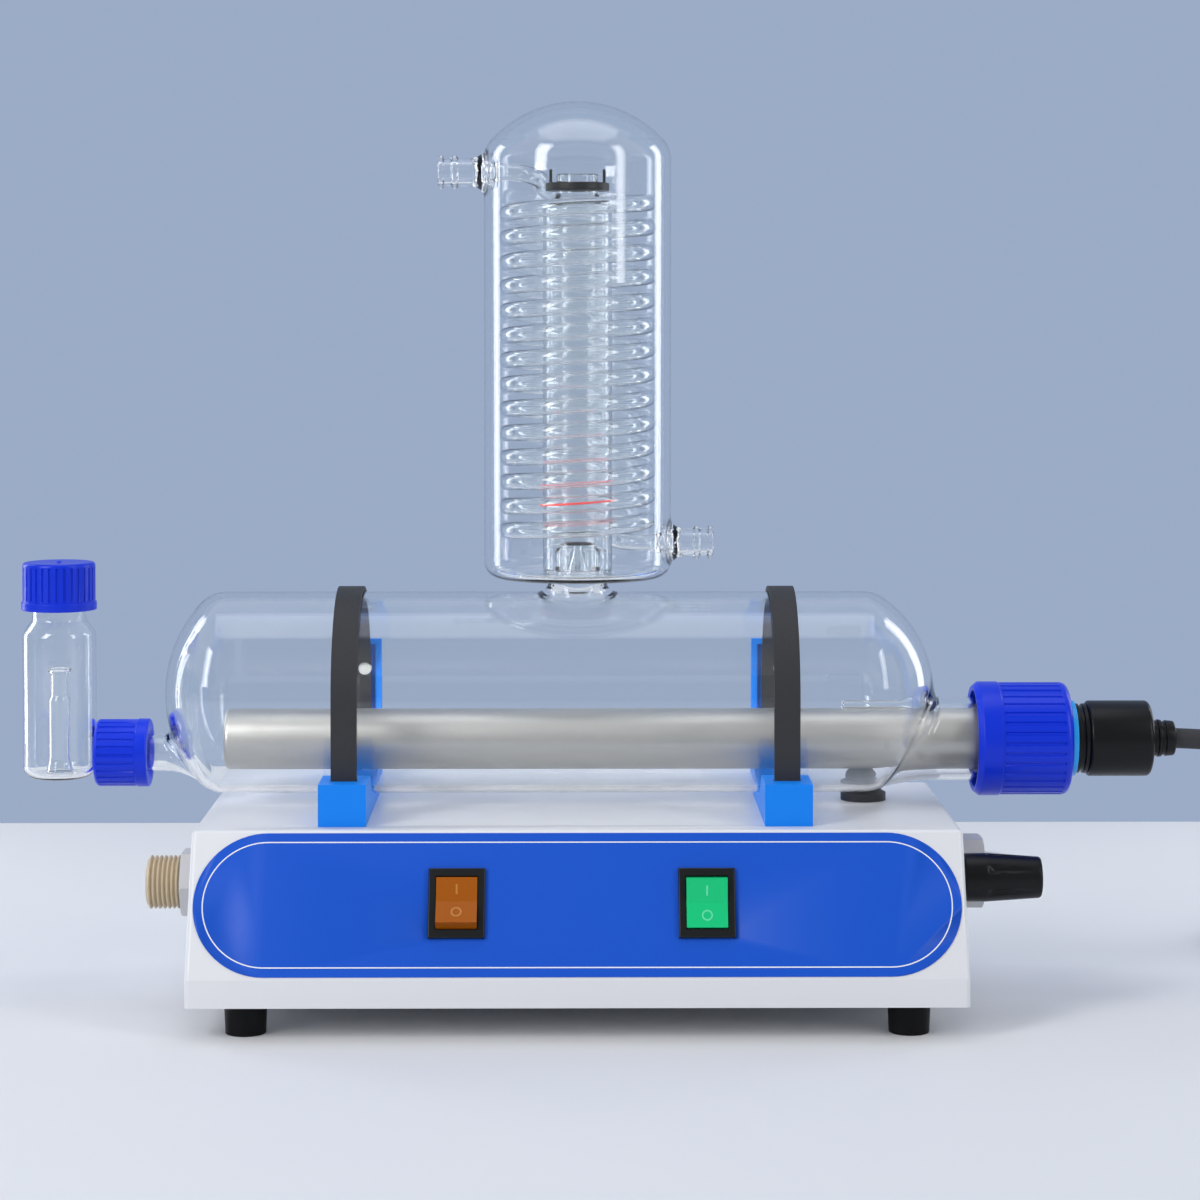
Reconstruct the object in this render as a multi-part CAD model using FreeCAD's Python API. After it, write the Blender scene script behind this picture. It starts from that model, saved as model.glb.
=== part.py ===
import FreeCAD, Part
import math
import os

# Glass water distiller: a sheet-metal base unit carries a horizontal glass boiler with an
# immersion heater, a level vial on the left and a jacketed coil condenser on top.
# Millimetres. X runs along the boiler, -Y is the front, +Z is up and Z = 0 is the bench.

Vec = FreeCAD.Vector
X_DIR = Vec(1, 0, 0)
Y_DIR = Vec(0, 1, 0)
Z_DIR = Vec(0, 0, 1)

# Clearances that serve the whole model
cut_over = 2.0
slip = 0.3
running = 0.06
shell_tolerance = 0.003
half_arc_share = 0.70710678

# Base unit
base_width = 351.5
base_depth = 170.0
base_top_z = 89.7
foot_height = 14.9
skirt_height = 12.6
slope_run = 29.0
sheet = 1.5
bend_radius = 2.5

# Boiler, measured from the condenser axis
boiler_radius = 47.9
boiler_wall = 3.0
boiler_clear = 6.5
boiler_setback = 100.0
boiler_left_end = 7.75
boiler_right_end = 38.75
boiler_left = base_width / 2 - boiler_left_end
boiler_right = base_width / 2 - boiler_right_end
left_dome = 28.6
right_dome = 33.0
left_neck_radius = 8.7
left_neck_drop = 29.0
heater_neck_radius = 19.8
heater_neck_drop = 22.6
heater_neck_wall = 2.8
neck_show = 19.0
top_neck_radius = 14.0
top_neck_wall = 2.5
top_neck_flare = 6.0

# Heater, from its cap outwards
heater_cap_length = 45.3
heater_cap_radius = 26.75
heater_ring_length = 3.3
heater_flange_length = 5.7
terminal_length = 30.5
relief_length = 11.9
sheath_radius = 14.5

# Level vial, with its small screw cap on the boiler's left neck
vial_gap = 79.4
vial_offset = boiler_left + vial_gap
vial_radius = 17.4
vial_flange_radius = 17.8

# Condenser
jacket_radius = 44.6
jacket_wall = 3.0
jacket_floor_z = 199.0
jacket_shoulder_z = 398.0
jacket_dome_height = 27.6

# Sockets on the rear wall stand this far out of it
socket_flange = 2.5

# Feet and their screws
foot_end = 25.75
foot_inset = 18.0
foot_top_radius = 9.8
foot_bottom_radius = 9.2
foot_pocket = 6.0
foot_pocket_radius = 5.0
foot_screw_radius = 2.0
foot_screw_head = 3.8
foot_screw_head_height = 2.6
foot_nut_flat = 7.0
foot_nut_height = 3.2

# Rocker switches on the slope
heater_switch_x = -54.5
mains_switch_x = 58.3
switch_up = 0.3
switch_cut_x = 22.0
switch_cut_y = 28.2
bezel_x = 25.6
bezel_y = 32.0
bezel_height = 2.2
switch_depth = 24.0
rocker_x = 18.5
rocker_y = 23.2
rocker_lean = 10.0
rocker_proud = 0.5
rocker_pivot_depth = 2.2
rocker_skirt = 3.0
trunnion_radius = 1.5
trunnion_length = 1.2

# Panel label on the slope
label_end = 2.45
label_height = 66.0
label_thick = 0.4

# Water inlet: a threaded nipple through the left wall, held by a hexagon nut
inlet_setback = 70.0
inlet_z = 58.6
nipple_radius = 12.4
nipple_bore = 8.0
nipple_length = 16.2
nipple_shank_radius = 9.8
inlet_nut_flat = 29.0
inlet_nut_length = 9.2
inlet_nut_chamfer = 1.2

# Cooling water valve behind the inlet
valve_block_x = 26.0
valve_block_side = 24.0
valve_socket = 8.0
valve_coil_side = 22.0
valve_coil_length = 30.0
transfer_tube_radius = 5.0
transfer_tube_bore = 3.5

# Flow valve with its knob, and the outlet beside it, on the right wall
knob_setback = 50.0
knob_z = 64.0
knob_length = 36.0
knob_radius = 11.2
knob_tip_radius = 9.0
knob_gap = 2.6
knob_groove_radius = 2.4
knob_grooves = 6
knob_plain_share = 0.28
knob_bore_depth_share = 0.45
knob_hollow_gap = 1.2
valve_bush_radius = 6.0
valve_bush_length = 9.0
valve_nut_flat = 15.0
valve_nut_length = 2.2
spindle_radius = 3.0
spindle_seat = 10.0
outlet_setback = 105.0
outlet_z = 57.0
outlet_shank_radius = 9.0
outlet_nut_flat = 32.5
outlet_nut_length = 18.5
outlet_nut_chamfer = 1.6
tail_length = 20.7
tail_radius = 9.5
tail_tip_radius = 6.85
tail_barbs = 3
barb_slope_share = 0.94
barb_dip_share = 1.3
tail_bore = 4.6
manifold_x = 30.0
manifold_height = 28.0
manifold_end = 14.0

# Thermostat under the boiler, in a rubber boot
boot_end = 37.45
boot_y = 16.0
boot_radius = 10.9
boot_flange = 3.6
boot_neck_radius = 7.6
boot_collar_radius = 8.6
boot_wall = 1.2
boot_below = 4.0
thermo_radius = 6.9

# Saddles, straps and pegs
saddle_left_end = 67.75
saddle_right_end = 78.75
saddle_left_x = saddle_left_end - base_width / 2
saddle_right_x = base_width / 2 - saddle_right_end
saddle_width = 22.0
saddle_front = 61.5
saddle_block_height = 19.3
saddle_step_height = 30.3
saddle_back_height = 75.8
saddle_back_thick = 6.0
saddle_slot_x = 13.0
saddle_slot_floor = 5.0
saddle_window_rim = 3.0
saddle_window_depth = 2.4
saddle_screw_radius = 2.0
saddle_screw_head = 3.6
saddle_screw_head_height = 2.4
saddle_screw_depth = 8.0
saddle_screw_front = 56.0
saddle_screw_rear = 53.5
strap_width = 12.0
strap_thick = 2.3
strap_tail_height = 38.3
peg_height = 60.3
peg_radius = 3.2
peg_head_radius = 5.0
peg_head_thick = 1.6
peg_side = 3.0

# Sockets on the rear wall: the mains lead plugs in one, the heater's lead in the other
inlet_socket_x = -92.0
outlet_socket_x = 70.0
socket_z = 52.0
socket_width = 27.0
socket_height = 20.0
socket_rim = 2.4
socket_depth = 22.0
socket_wall = 1.6
socket_well = 15.0
socket_pin_x = 2.0
socket_pin_z = 4.0
socket_pin_spread = 7.0
socket_pin_rise = 2.0
socket_pin_length = 13.0
shroud_wall = 1.6

# Electrics in the box
board_x = 110.0
board_y = 60.0
board_thick = 1.6
board_centre_x = -10.0
board_to_rear = 70.0
standoff_radius = 2.6
standoff_height = 8.0
standoff_inset = 5.0
relay_size = 15.2
relay_pitch = 19.0
relay_height = 15.5
transformer_x = 32.0
transformer_y = 27.0
transformer_height = 22.0
terminal_poles = 6
terminal_pitch = 8.0
terminal_y = 12.0
terminal_height = 13.0

# Glass joints between fused or sealed pieces stand this far apart
seam = 0.1

# Thermowell on the right shoulder
well_back = 11.0
well_x = boiler_right - well_back
well_drop = 6.7
well_radius = 2.3

# Heater end fittings
heater_thread_radius = 22.3
heater_thread_length = 30.0
heater_neck_in = 33.0
heater_cap_bore = 22.9
heater_cap_mouth = 18.6
heater_cap_flange = 12.0
heater_cap_flange_radius = 27.15
heater_cap_round = 3.5
heater_cap_ribs = 34
heater_seal_thick = 3.0
heater_seal_radius = 22.0
heater_washer_thick = 2.0
heater_ring_radius = 18.1
heater_flange_radius = 16.6
heater_groove_radius = 15.2
terminal_radius = 18.0
terminal_round = 2.5
terminal_bore = 13.0
terminal_wall = 4.0
relief_radius = 9.5
relief_tip_radius = 8.2
relief_grooves = 3
relief_groove_depth = 0.8
lead_radius = 4.85
sheath_round = 5.0
sheath_wall = 1.0
bobbins = 9
bobbin_flange = 3.0
bobbin_groove = 3.0
bobbin_end = 6.0
terminal_seat = 6.0

# Vial and its caps
vial_floor_z = 103.4
vial_shoulder_z = 172.0
vial_neck_z = 178.5
vial_wall = 1.9
vial_floor_round = 6.0
vial_neck_radius = 12.75
vial_thread_radius = 13.5
vial_cap_z = 183.7
vial_cap_height = 22.9
vial_cap_radius = 17.2
vial_cap_bore = 14.0
vial_cap_ribs = 31
vial_cap_flange = 3.8
vial_cap_top = 1.8
vial_cap_nub = 0.5
vial_liner_thick = 1.5
vial_arm_radius = 12.2
standpipe_radius = 5.25
standpipe_wall = 1.0
standpipe_top_z = 155.8
standpipe_step_z = 142.0
standpipe_slim_radius = 4.3
standpipe_foot_radius = 6.6
standpipe_foot_height = 6.0
leveller_cap_radius = 15.9
leveller_cap_length = 25.2
leveller_cap_gap = 0.8
leveller_cap_bore = 12.6
leveller_cap_mouth = 9.3
leveller_cap_end = 3.0
leveller_cap_flange = 5.4
leveller_cap_flange_radius = 16.2
leveller_cap_ribs = 26
leveller_washer_thick = 1.2
leveller_thread_gap = 4.6
leveller_tube_in = 14.0
rib_depth = 0.7
rib_land_share = 0.62
rib_flank_share = 0.06

# Condenser details
jacket_round = 8.0
jacket_knuckle = 14.0
boiler_knuckle = 16.0
arm_radius = 6.7
arm_bore = 4.7
arm_bead = 7.9
arm_bead_length = 3.2
arm_bead_span = 9.7
arm_flare = 10.5
arm_flare_length = 6.0
arm_tip = 34.0
upper_arm_z = 392.0
upper_arm_reach = 66.3
lower_arm_z = 215.6
lower_arm_reach = 64.8
drain_arm_z = 209.0
drain_arm_reach = 62.0
coil_radius = 33.65
coil_wire = 4.0
coil_wall = 1.4
coil_pitch = 11.55
coil_turns = 14
coil_start_z = 218.7
vapour_radius = 16.5
vapour_wall = 1.6
vapour_shoulder_z = 376.0
vapour_neck_radius = 10.0
vapour_neck_z = 382.8
vapour_top_z = 391.0
riser_radius = 4.7
riser_wall = 1.2
riser_tip_radius = 2.6
riser_top_z = 213.6
riser_below = 3.0
splash_radius = 10.8
splash_wall = 1.8
splash_top_z = 217.0
splash_slot = 6.0
splash_slots = 3
splash_dome_share = 0.72
splash_knuckle_share = 0.55
ring_outer = 15.2
ring_height = 4.0
ring_pin_radius = 0.7
ring_pin_x = 12.7
ring_pin_height = 6.5
level_ring_z = 235.8
level_ring_thick = 1.1
level_ring_height = 1.8
level_ring_tilt = 5.0

# Heater lead: points from the end of the strain relief along X and Y, and above the bench
arc_share = 0.45
lead_core_radius = 3.0
lead_points = [
    (0.0, 0.0, 121.5), (42.0, 0.0, 120.0), (88.0, 3.0, 106.0), (130.0, 18.0, 80.0), (162.0, 52.0, 48.0),
    (178.0, 98.0, 20.0), (169.2, 131.0, 7.5), (145.0, 155.2, 4.85), (112.0, 164.0, 4.85), (79.0, 155.2, 4.85),
    (54.8, 131.0, 4.85), (46.0, 98.0, 4.85), (54.8, 65.0, 4.85), (79.0, 40.8, 6.6), (112.0, 32.0, 9.7),
    (146.0, 32.0, 9.7),
]
plug_boot_length = 16.0
plug_boot_radius = 8.0
plug_grip_length = 22.0
plug_round = 2.5

# The row frame: X = 0 and Y = 0 in the middle of the whole object without its lead
heater_cap_x = boiler_right + right_dome + neck_show
left_reach = vial_offset + vial_flange_radius
right_reach = (heater_cap_x + heater_cap_length + heater_ring_length
               + heater_flange_length + terminal_length + relief_length)
mid_x = (left_reach - right_reach) / 2
front_y = -(base_depth + socket_flange) / 2
rear_y = front_y + base_depth
axis_y = front_y + boiler_setback
boiler_z = base_top_z + boiler_clear + boiler_radius
boiler_top_z = boiler_z + boiler_radius
foot_x = base_width / 2 - foot_end
boot_x = base_width / 2 - boot_end
label_length = base_width - 2 * label_end
board_mid_y = rear_y - board_to_rear
inlet_y = front_y + inlet_setback
knob_y = front_y + knob_setback
outlet_y = front_y + outlet_setback
saddle_screw_ys = (-saddle_screw_front, saddle_screw_rear)


def save(name, *solids):
    """Writes one node: a single solid, or a group of separate ones."""
    shape = solids[0] if len(solids) == 1 else Part.makeCompound(list(solids))
    shape.exportStep("parts/" + name + ".step")
    print(name, len(shape.Solids), round(shape.Volume), shape.isValid())


def outline(steps):
    """A closed flat wire. A step is a point, or a pair (middle, end) for an arc."""
    edges = []
    here = steps[0]
    for step in steps[1:] + [steps[0]]:
        if isinstance(step, tuple):
            edges.append(Part.Arc(here, step[0], step[1]).toShape())
            here = step[1]
        elif here.distanceToPoint(step) > 0:
            edges.append(Part.makeLine(here, step))
            here = step
    return Part.Face(Part.Wire(edges))


def turned(profile, centre, axis):
    """A solid of revolution from (radius, place along the axis) pairs; triples carry an arc's middle."""
    side = Y_DIR if axis == X_DIR else X_DIR

    def place(r, s):
        return centre + side * r + axis * s

    steps = []
    for p in profile:
        steps.append(place(*p) if len(p) == 2 else (place(p[0], p[1]), place(p[2], p[3])))
    return outline(steps).revolve(centre, axis, 360)


def rod(radius, start, axis, length):
    return Part.makeCylinder(radius, length, start, axis)


def pipe(outer, inner, start, axis, length):
    return rod(outer, start, axis, length).cut(rod(inner, start, axis, length))


def block(x0, x1, y0, y1, z0, z1):
    return Part.makeBox(x1 - x0, y1 - y0, z1 - z0, Vec(x0, y0, z0))


def union(*shapes):
    return shapes[0].multiFuse(list(shapes[1:])).removeSplitter()


os.makedirs("parts", exist_ok=True)

# Placement of things on the sloped front: local X along the base, Y up the slope, Z out of it
slope_rise = base_top_z - foot_height - skirt_height
slope_lean = math.degrees(math.atan2(slope_run, slope_rise))
slope_mid = Vec(mid_x, front_y + slope_run / 2, foot_height + skirt_height + slope_rise / 2)


def on_slope(shape):
    shape = shape.copy()
    shape.rotate(Vec(0, 0, 0), X_DIR, 90 - slope_lean)
    shape.translate(slope_mid)
    return shape


def base_housing():
    x0 = mid_x - base_width / 2
    side = [
        Vec(x0, front_y, foot_height),
        Vec(x0, front_y, foot_height + skirt_height),
        Vec(x0, front_y + slope_run, base_top_z),
        Vec(x0, rear_y, base_top_z),
        Vec(x0, rear_y, foot_height),
    ]
    solid = outline(side).extrude(X_DIR * base_width)
    upper = [e for e in solid.Edges if e.BoundBox.ZMax > foot_height + slip]
    solid = solid.makeFillet(bend_radius, upper)
    under = [f for f in solid.Faces if f.BoundBox.ZMax < foot_height + slip]
    cover = solid.makeThickness(under, -sheet, shell_tolerance)
    holes = [on_slope(block(x - switch_cut_x / 2, x + switch_cut_x / 2,
                            switch_up - switch_cut_y / 2, switch_up + switch_cut_y / 2,
                            -bend_radius - cut_over, cut_over)) for x in (heater_switch_x, mains_switch_x)]
    left_x = mid_x - base_width / 2
    right_x = mid_x + base_width / 2
    holes.append(rod(nipple_shank_radius + slip, Vec(left_x - cut_over, inlet_y, inlet_z),
                     X_DIR, sheet + 2 * cut_over))
    holes.append(rod(valve_bush_radius + slip, Vec(right_x + cut_over, knob_y, knob_z),
                     -X_DIR, sheet + 2 * cut_over))
    holes.append(rod(outlet_shank_radius + slip, Vec(right_x + cut_over, outlet_y, outlet_z),
                     -X_DIR, sheet + 2 * cut_over))
    holes.append(rod(boot_neck_radius + slip, Vec(mid_x + boot_x, axis_y + boot_y, base_top_z + cut_over),
                     -Z_DIR, sheet + 2 * cut_over))
    for x in (saddle_left_x, saddle_right_x):
        for y in saddle_screw_ys:
            holes.append(rod(saddle_screw_radius + slip, Vec(mid_x + x, axis_y + y, base_top_z + cut_over),
                             -Z_DIR, sheet + 2 * cut_over))
    for x in (inlet_socket_x, outlet_socket_x):
        holes.append(block(mid_x + x - socket_width / 2 - slip, mid_x + x + socket_width / 2 + slip,
                           rear_y - sheet - cut_over, rear_y + cut_over,
                           socket_z - socket_height / 2 - slip, socket_z + socket_height / 2 + slip))
    return cover.cut(Part.makeCompound(holes))


def base_plate():
    gap = sheet + slip
    plate = block(mid_x - base_width / 2 + gap, mid_x + base_width / 2 - gap,
                  front_y + gap, rear_y - gap, foot_height, foot_height + sheet)
    return plate.cut(Part.makeCompound([rod(foot_screw_radius + slip, Vec(x, y, foot_height - cut_over),
                                            Z_DIR, sheet + 2 * cut_over) for x, y in foot_places()]))


def foot_places():
    return [(mid_x + sx * foot_x, y) for y in (front_y + foot_inset, rear_y - foot_inset) for sx in (-1, 1)]


def foot(x, y):
    profile = [(foot_screw_radius + slip, foot_pocket), (foot_pocket_radius, foot_pocket),
               (foot_pocket_radius, 0), (foot_bottom_radius, 0), (foot_top_radius, foot_height),
               (foot_screw_radius + slip, foot_height)]
    return turned(profile, Vec(x, y, 0), Z_DIR)


def foot_screw(x, y):
    """A cheese-head screw from below, with its nut on top of the plate."""
    head = rod(foot_screw_head, Vec(x, y, foot_pocket - foot_screw_head_height), Z_DIR,
               foot_screw_head_height)
    shank = rod(foot_screw_radius, Vec(x, y, foot_pocket), Z_DIR,
                foot_height + sheet + foot_nut_height - foot_pocket)
    nut = hex_bar(foot_nut_flat, foot_nut_height, Vec(x, y, foot_height + sheet), Z_DIR)
    return union(head, shank, nut)


def hex_bar(flats, length, start, axis):
    """A hexagon bar by its width across flats."""
    across = Y_DIR if axis != Y_DIR else X_DIR
    other = axis.cross(across)
    r = flats / math.sqrt(3)
    points = [start + across * (r * math.cos(math.radians(60 * k)))
              + other * (r * math.sin(math.radians(60 * k)))
              for k in range(6)]
    return outline(points).extrude(axis * length)


def switch_bezel(x):
    """Frame with its body behind the panel, and a well in which the rocker swings."""
    swing = rocker_swing_radius() + slip
    rim = Part.makeBox(bezel_x, bezel_y, bezel_height,
                       Vec(x - bezel_x / 2, switch_up - bezel_y / 2, label_thick))
    rim = rim.makeFillet(bezel_height / 3, [e for e in rim.Edges if e.BoundBox.ZMin > label_thick + slip])
    body_x = switch_cut_x - 2 * slip
    body_y = switch_cut_y - 2 * slip
    body = Part.makeBox(body_x, body_y, switch_depth,
                        Vec(x - body_x / 2, switch_up - body_y / 2, label_thick - switch_depth))
    well_x = rocker_x + 2 * slip
    well_depth = rocker_pivot_depth + rocker_skirt + rocker_pivot_depth
    well = Part.makeBox(well_x, 2 * swing, well_depth + bezel_height + cut_over,
                        Vec(x - well_x / 2, switch_up - swing, label_thick - well_depth))
    pivot = rod(trunnion_radius + running,
                Vec(x - rocker_x / 2 - trunnion_length - slip, switch_up, pivot_height()),
                X_DIR, rocker_x + 2 * trunnion_length + 2 * slip)
    return on_slope(rim.fuse(body).removeSplitter().cut(well).cut(pivot))


def pivot_height():
    return label_thick + bezel_height - rocker_pivot_depth


def rocker_points():
    """The rocker's side at mid swing, round its pivot: found by turning back its pressed end."""
    a = math.radians(rocker_lean)
    up = rocker_pivot_depth + rocker_proud
    half = rocker_y / 2
    top = (half * math.cos(a) - up * math.sin(a), half * math.sin(a) + up * math.cos(a))
    low = (half * math.cos(a) + rocker_skirt * math.sin(a), half * math.sin(a) - rocker_skirt * math.cos(a))
    dip = top[1] - top[0] * math.tan(a)
    return top, low, dip


def rocker_swing_radius():
    top, low, dip = rocker_points()
    return max(math.hypot(*top), math.hypot(*low))


def switch_rocker(x, pressed_up):
    """A rocker with two leaning faces and a trunnion at each side."""
    top, low, dip = rocker_points()
    x0 = x - rocker_x / 2
    side = [Vec(x0, -low[0], low[1]), Vec(x0, -top[0], top[1]), Vec(x0, 0, dip),
            Vec(x0, top[0], top[1]), Vec(x0, low[0], low[1])]
    solid = outline(side).extrude(X_DIR * rocker_x)
    pins = rod(trunnion_radius, Vec(x0 - trunnion_length, 0, 0), X_DIR, rocker_x + 2 * trunnion_length)
    solid = union(solid, pins)
    solid.rotate(Vec(0, 0, 0), X_DIR, -rocker_lean if pressed_up else rocker_lean)
    solid.translate(Vec(0, switch_up, pivot_height()))
    return on_slope(solid)


def panel_label():
    """A thin panel with half-round ends, cut out for the two switches."""
    r = label_height / 2
    x1 = label_length / 2 - r
    face = outline([
        Vec(-x1, -r, 0), Vec(x1, -r, 0), (Vec(x1 + r, 0, 0), Vec(x1, r, 0)),
        Vec(-x1, r, 0), (Vec(-x1 - r, 0, 0), Vec(-x1, -r, 0)),
    ])
    panel = face.extrude(Z_DIR * label_thick)
    holes = [Part.makeBox(switch_cut_x, switch_cut_y, label_thick + 2 * cut_over,
                          Vec(x - switch_cut_x / 2, switch_up - switch_cut_y / 2, -cut_over))
             for x in (heater_switch_x, mains_switch_x)]
    return on_slope(panel.cut(Part.makeCompound(holes)))


def water_nipple():
    start = Vec(mid_x - base_width / 2 - inlet_nut_length - nipple_length, inlet_y, inlet_z)
    whole = nipple_length + inlet_nut_length + sheet + valve_socket
    body = union(rod(nipple_radius, start, X_DIR, nipple_length),
                 rod(nipple_shank_radius, start, X_DIR, whole))
    return body.cut(rod(nipple_bore, start, X_DIR, whole))


def inlet_lock_nut():
    start = Vec(mid_x - base_width / 2 - inlet_nut_length, inlet_y, inlet_z)
    nut = chamfered_hex(inlet_nut_flat, inlet_nut_length, start, inlet_nut_chamfer)
    return nut.cut(rod(nipple_shank_radius + running, start, X_DIR, inlet_nut_length))


def chamfered_hex(flats, length, start, chamfer):
    """A hexagon along X whose corners are turned down at both ends."""
    r = flats / math.sqrt(3)
    turned_down = turned([(0, 0), (r - chamfer, 0), (r, chamfer / 2), (r, length - chamfer / 2),
                          (r - chamfer, length), (0, length)], start, X_DIR)
    return hex_bar(flats, length, start, X_DIR).common(turned_down)


def solenoid_valve():
    """Valve block on the nipple's shank, with its coil standing on top."""
    x0 = mid_x - base_width / 2 + sheet
    half = valve_block_side / 2
    low = inlet_z - half
    body = block(x0, x0 + valve_block_x, inlet_y - half, inlet_y + half, low, low + valve_block_side)
    body = body.cut(rod(nipple_shank_radius + running, Vec(x0 - cut_over, inlet_y, inlet_z), X_DIR,
                        valve_socket + cut_over))
    body = body.cut(rod(transfer_tube_radius + running, Vec(x0 + valve_block_x + cut_over, inlet_y, inlet_z),
                        -X_DIR, valve_socket + cut_over))
    side = valve_coil_side / 2
    back = inlet_y + half
    coil = rod(side, Vec(x0 + valve_block_x / 2, back, inlet_z), Y_DIR, valve_coil_length)
    return union(body, coil)


def transfer_tube():
    """The tube that leads the cooling water across the box to the flow valve."""
    x0 = mid_x - base_width / 2 + sheet + valve_block_x - valve_socket
    x1 = mid_x + base_width / 2 - sheet - manifold_x + valve_socket
    return pipe(transfer_tube_radius, transfer_tube_bore, Vec(x0, inlet_y, inlet_z), X_DIR, x1 - x0)


def flow_valve_body():
    """Block inside the right wall that carries the spindle and the outlet, with its bush and nut."""
    x1 = mid_x + base_width / 2 - sheet
    x0 = x1 - manifold_x
    mid_z = (knob_z + outlet_z) / 2
    body = block(x0, x1, knob_y - manifold_end, outlet_y + manifold_end,
                 mid_z - manifold_height / 2, mid_z + manifold_height / 2)
    bush = rod(valve_bush_radius, Vec(x1, knob_y, knob_z), X_DIR, sheet + valve_bush_length)
    body = union(body, bush)
    body = body.cut(rod(spindle_radius + running,
                        Vec(x1 + sheet + valve_bush_length + cut_over, knob_y, knob_z),
                        -X_DIR, sheet + valve_bush_length + cut_over + spindle_seat))
    body = body.cut(rod(outlet_shank_radius + running, Vec(x1 + cut_over, outlet_y, outlet_z), -X_DIR,
                        valve_socket + cut_over))
    return body.cut(rod(transfer_tube_radius + running, Vec(x0 - cut_over, inlet_y, inlet_z), X_DIR,
                        valve_socket + cut_over))


def valve_nut():
    start = Vec(mid_x + base_width / 2, knob_y, knob_z)
    nut = chamfered_hex(valve_nut_flat, valve_nut_length, start, valve_nut_length / 4)
    return nut.cut(rod(valve_bush_radius + running, start, X_DIR, valve_nut_length))


def valve_spindle():
    x1 = mid_x + base_width / 2
    start = x1 - sheet - spindle_seat
    end = x1 + knob_gap + knob_length * knob_bore_depth_share
    return rod(spindle_radius, Vec(start, knob_y, knob_z), X_DIR, end - start)


def valve_knob():
    """A tapered knob with finger grooves over its outer part and a hollow over the bush."""
    start = Vec(mid_x + base_width / 2 + knob_gap, knob_y, knob_z)
    plain = knob_length * knob_plain_share
    edge = knob_radius - knob_tip_radius
    body = turned([(0, 0), (knob_radius - edge / 4, 0), (knob_radius, edge / 4), (knob_radius, plain),
                   (knob_tip_radius + edge / 3, knob_length - edge / 2),
                   (knob_tip_radius, knob_length), (0, knob_length)], start, X_DIR)
    grooves = []
    for k in range(knob_grooves):
        a = math.pi * (2 * k + 1) / knob_grooves
        out = knob_radius + knob_groove_radius / 3
        foot = start + X_DIR * (plain + knob_groove_radius)
        foot = foot + Y_DIR * (out * math.cos(a)) + Z_DIR * (out * math.sin(a))
        grooves.append(rod(knob_groove_radius, foot, X_DIR, knob_length))
    body = body.cut(Part.makeCompound(grooves))
    hollow = rod(valve_bush_radius + knob_hollow_gap, start - X_DIR * cut_over, X_DIR,
                 cut_over + sheet + valve_bush_length - knob_gap + slip)
    bore = rod(spindle_radius, start, X_DIR, knob_length * knob_bore_depth_share)
    return body.cut(hollow).cut(bore)


def outlet_nut():
    start = Vec(mid_x + base_width / 2, outlet_y, outlet_z)
    nut = chamfered_hex(outlet_nut_flat, outlet_nut_length, start, outlet_nut_chamfer)
    return nut.cut(rod(outlet_shank_radius + running, start, X_DIR, outlet_nut_length))


def outlet_hose_tail():
    """The shank through the wall and nut, and the barbed tail outside."""
    inner = sheet + valve_socket
    start = Vec(mid_x + base_width / 2 - inner, outlet_y, outlet_z)
    base = inner + outlet_nut_length
    profile = [(tail_bore, 0), (outlet_shank_radius, 0), (outlet_shank_radius, base), (tail_radius, base)]
    step = tail_length / tail_barbs
    drop = (tail_radius - tail_tip_radius) / tail_barbs
    for k in range(tail_barbs):
        r = tail_radius - drop * k
        profile += [(r, base + step * k), (r - drop * barb_dip_share, base + step * (k + barb_slope_share)),
                    (r - drop, base + step * (k + 1))]
    profile[-1] = (tail_tip_radius - drop / 2, base + tail_length)
    profile.append((tail_bore, base + tail_length))
    return turned(profile, start, X_DIR)


def thermostat_boot():
    """A rubber grommet in the top sheet, which holds the thermostat against the glass."""
    centre = Vec(mid_x + boot_x, axis_y + boot_y, base_top_z)
    top = boiler_z - boiler_radius * half_arc_share - base_top_z
    return under_glass(turned([
        (boot_neck_radius - boot_wall, -sheet - boot_below), (boot_radius - boot_wall, -sheet - boot_below),
        (boot_radius - boot_wall, -sheet), (boot_neck_radius, -sheet), (boot_neck_radius, 0),
        (boot_radius, 0), (boot_radius, boot_flange), (boot_collar_radius, boot_flange + boot_wall),
        (boot_collar_radius, top), (thermo_radius + running, top),
        (thermo_radius + running, boot_flange - boot_wall),
        (boot_neck_radius - boot_wall, boot_flange - boot_wall),
    ], centre, Z_DIR))


def under_glass(shape):
    """A shape cut off just below the boiler's wall."""
    start = Vec(mid_x, axis_y, boiler_z)
    return shape.cut(rod(boiler_radius + slip, start, X_DIR, boiler_right + right_dome))


def thermostat_disc():
    centre = Vec(mid_x + boot_x, axis_y + boot_y, base_top_z)
    low = boot_flange - boot_wall
    height = boiler_z - boiler_radius * half_arc_share - base_top_z - low
    return under_glass(rod(thermo_radius, centre + Z_DIR * low, Z_DIR, height))


def rear_socket(x):
    """A socket body in the rear wall, with its rim outside and its well open to the back."""
    cx = mid_x + x
    w = socket_width / 2
    h = socket_height / 2
    rim = block(cx - w - socket_rim, cx + w + socket_rim, rear_y, rear_y + socket_flange,
                socket_z - h - socket_rim, socket_z + h + socket_rim)
    rim = rim.makeFillet(socket_rim, [e for e in rim.Edges if e.BoundBox.YLength > socket_flange / 2])
    body = block(cx - w, cx + w, rear_y - socket_depth, rear_y, socket_z - h, socket_z + h)
    well = block(cx - w + socket_wall, cx + w - socket_wall,
                 rear_y - socket_well, rear_y + socket_flange + cut_over,
                 socket_z - h + socket_wall, socket_z + h - socket_wall)
    return rim.fuse(body).removeSplitter().cut(well)


def pin_places():
    return (-socket_pin_spread, -socket_pin_rise), (0, socket_pin_rise), (socket_pin_spread, -socket_pin_rise)


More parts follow.
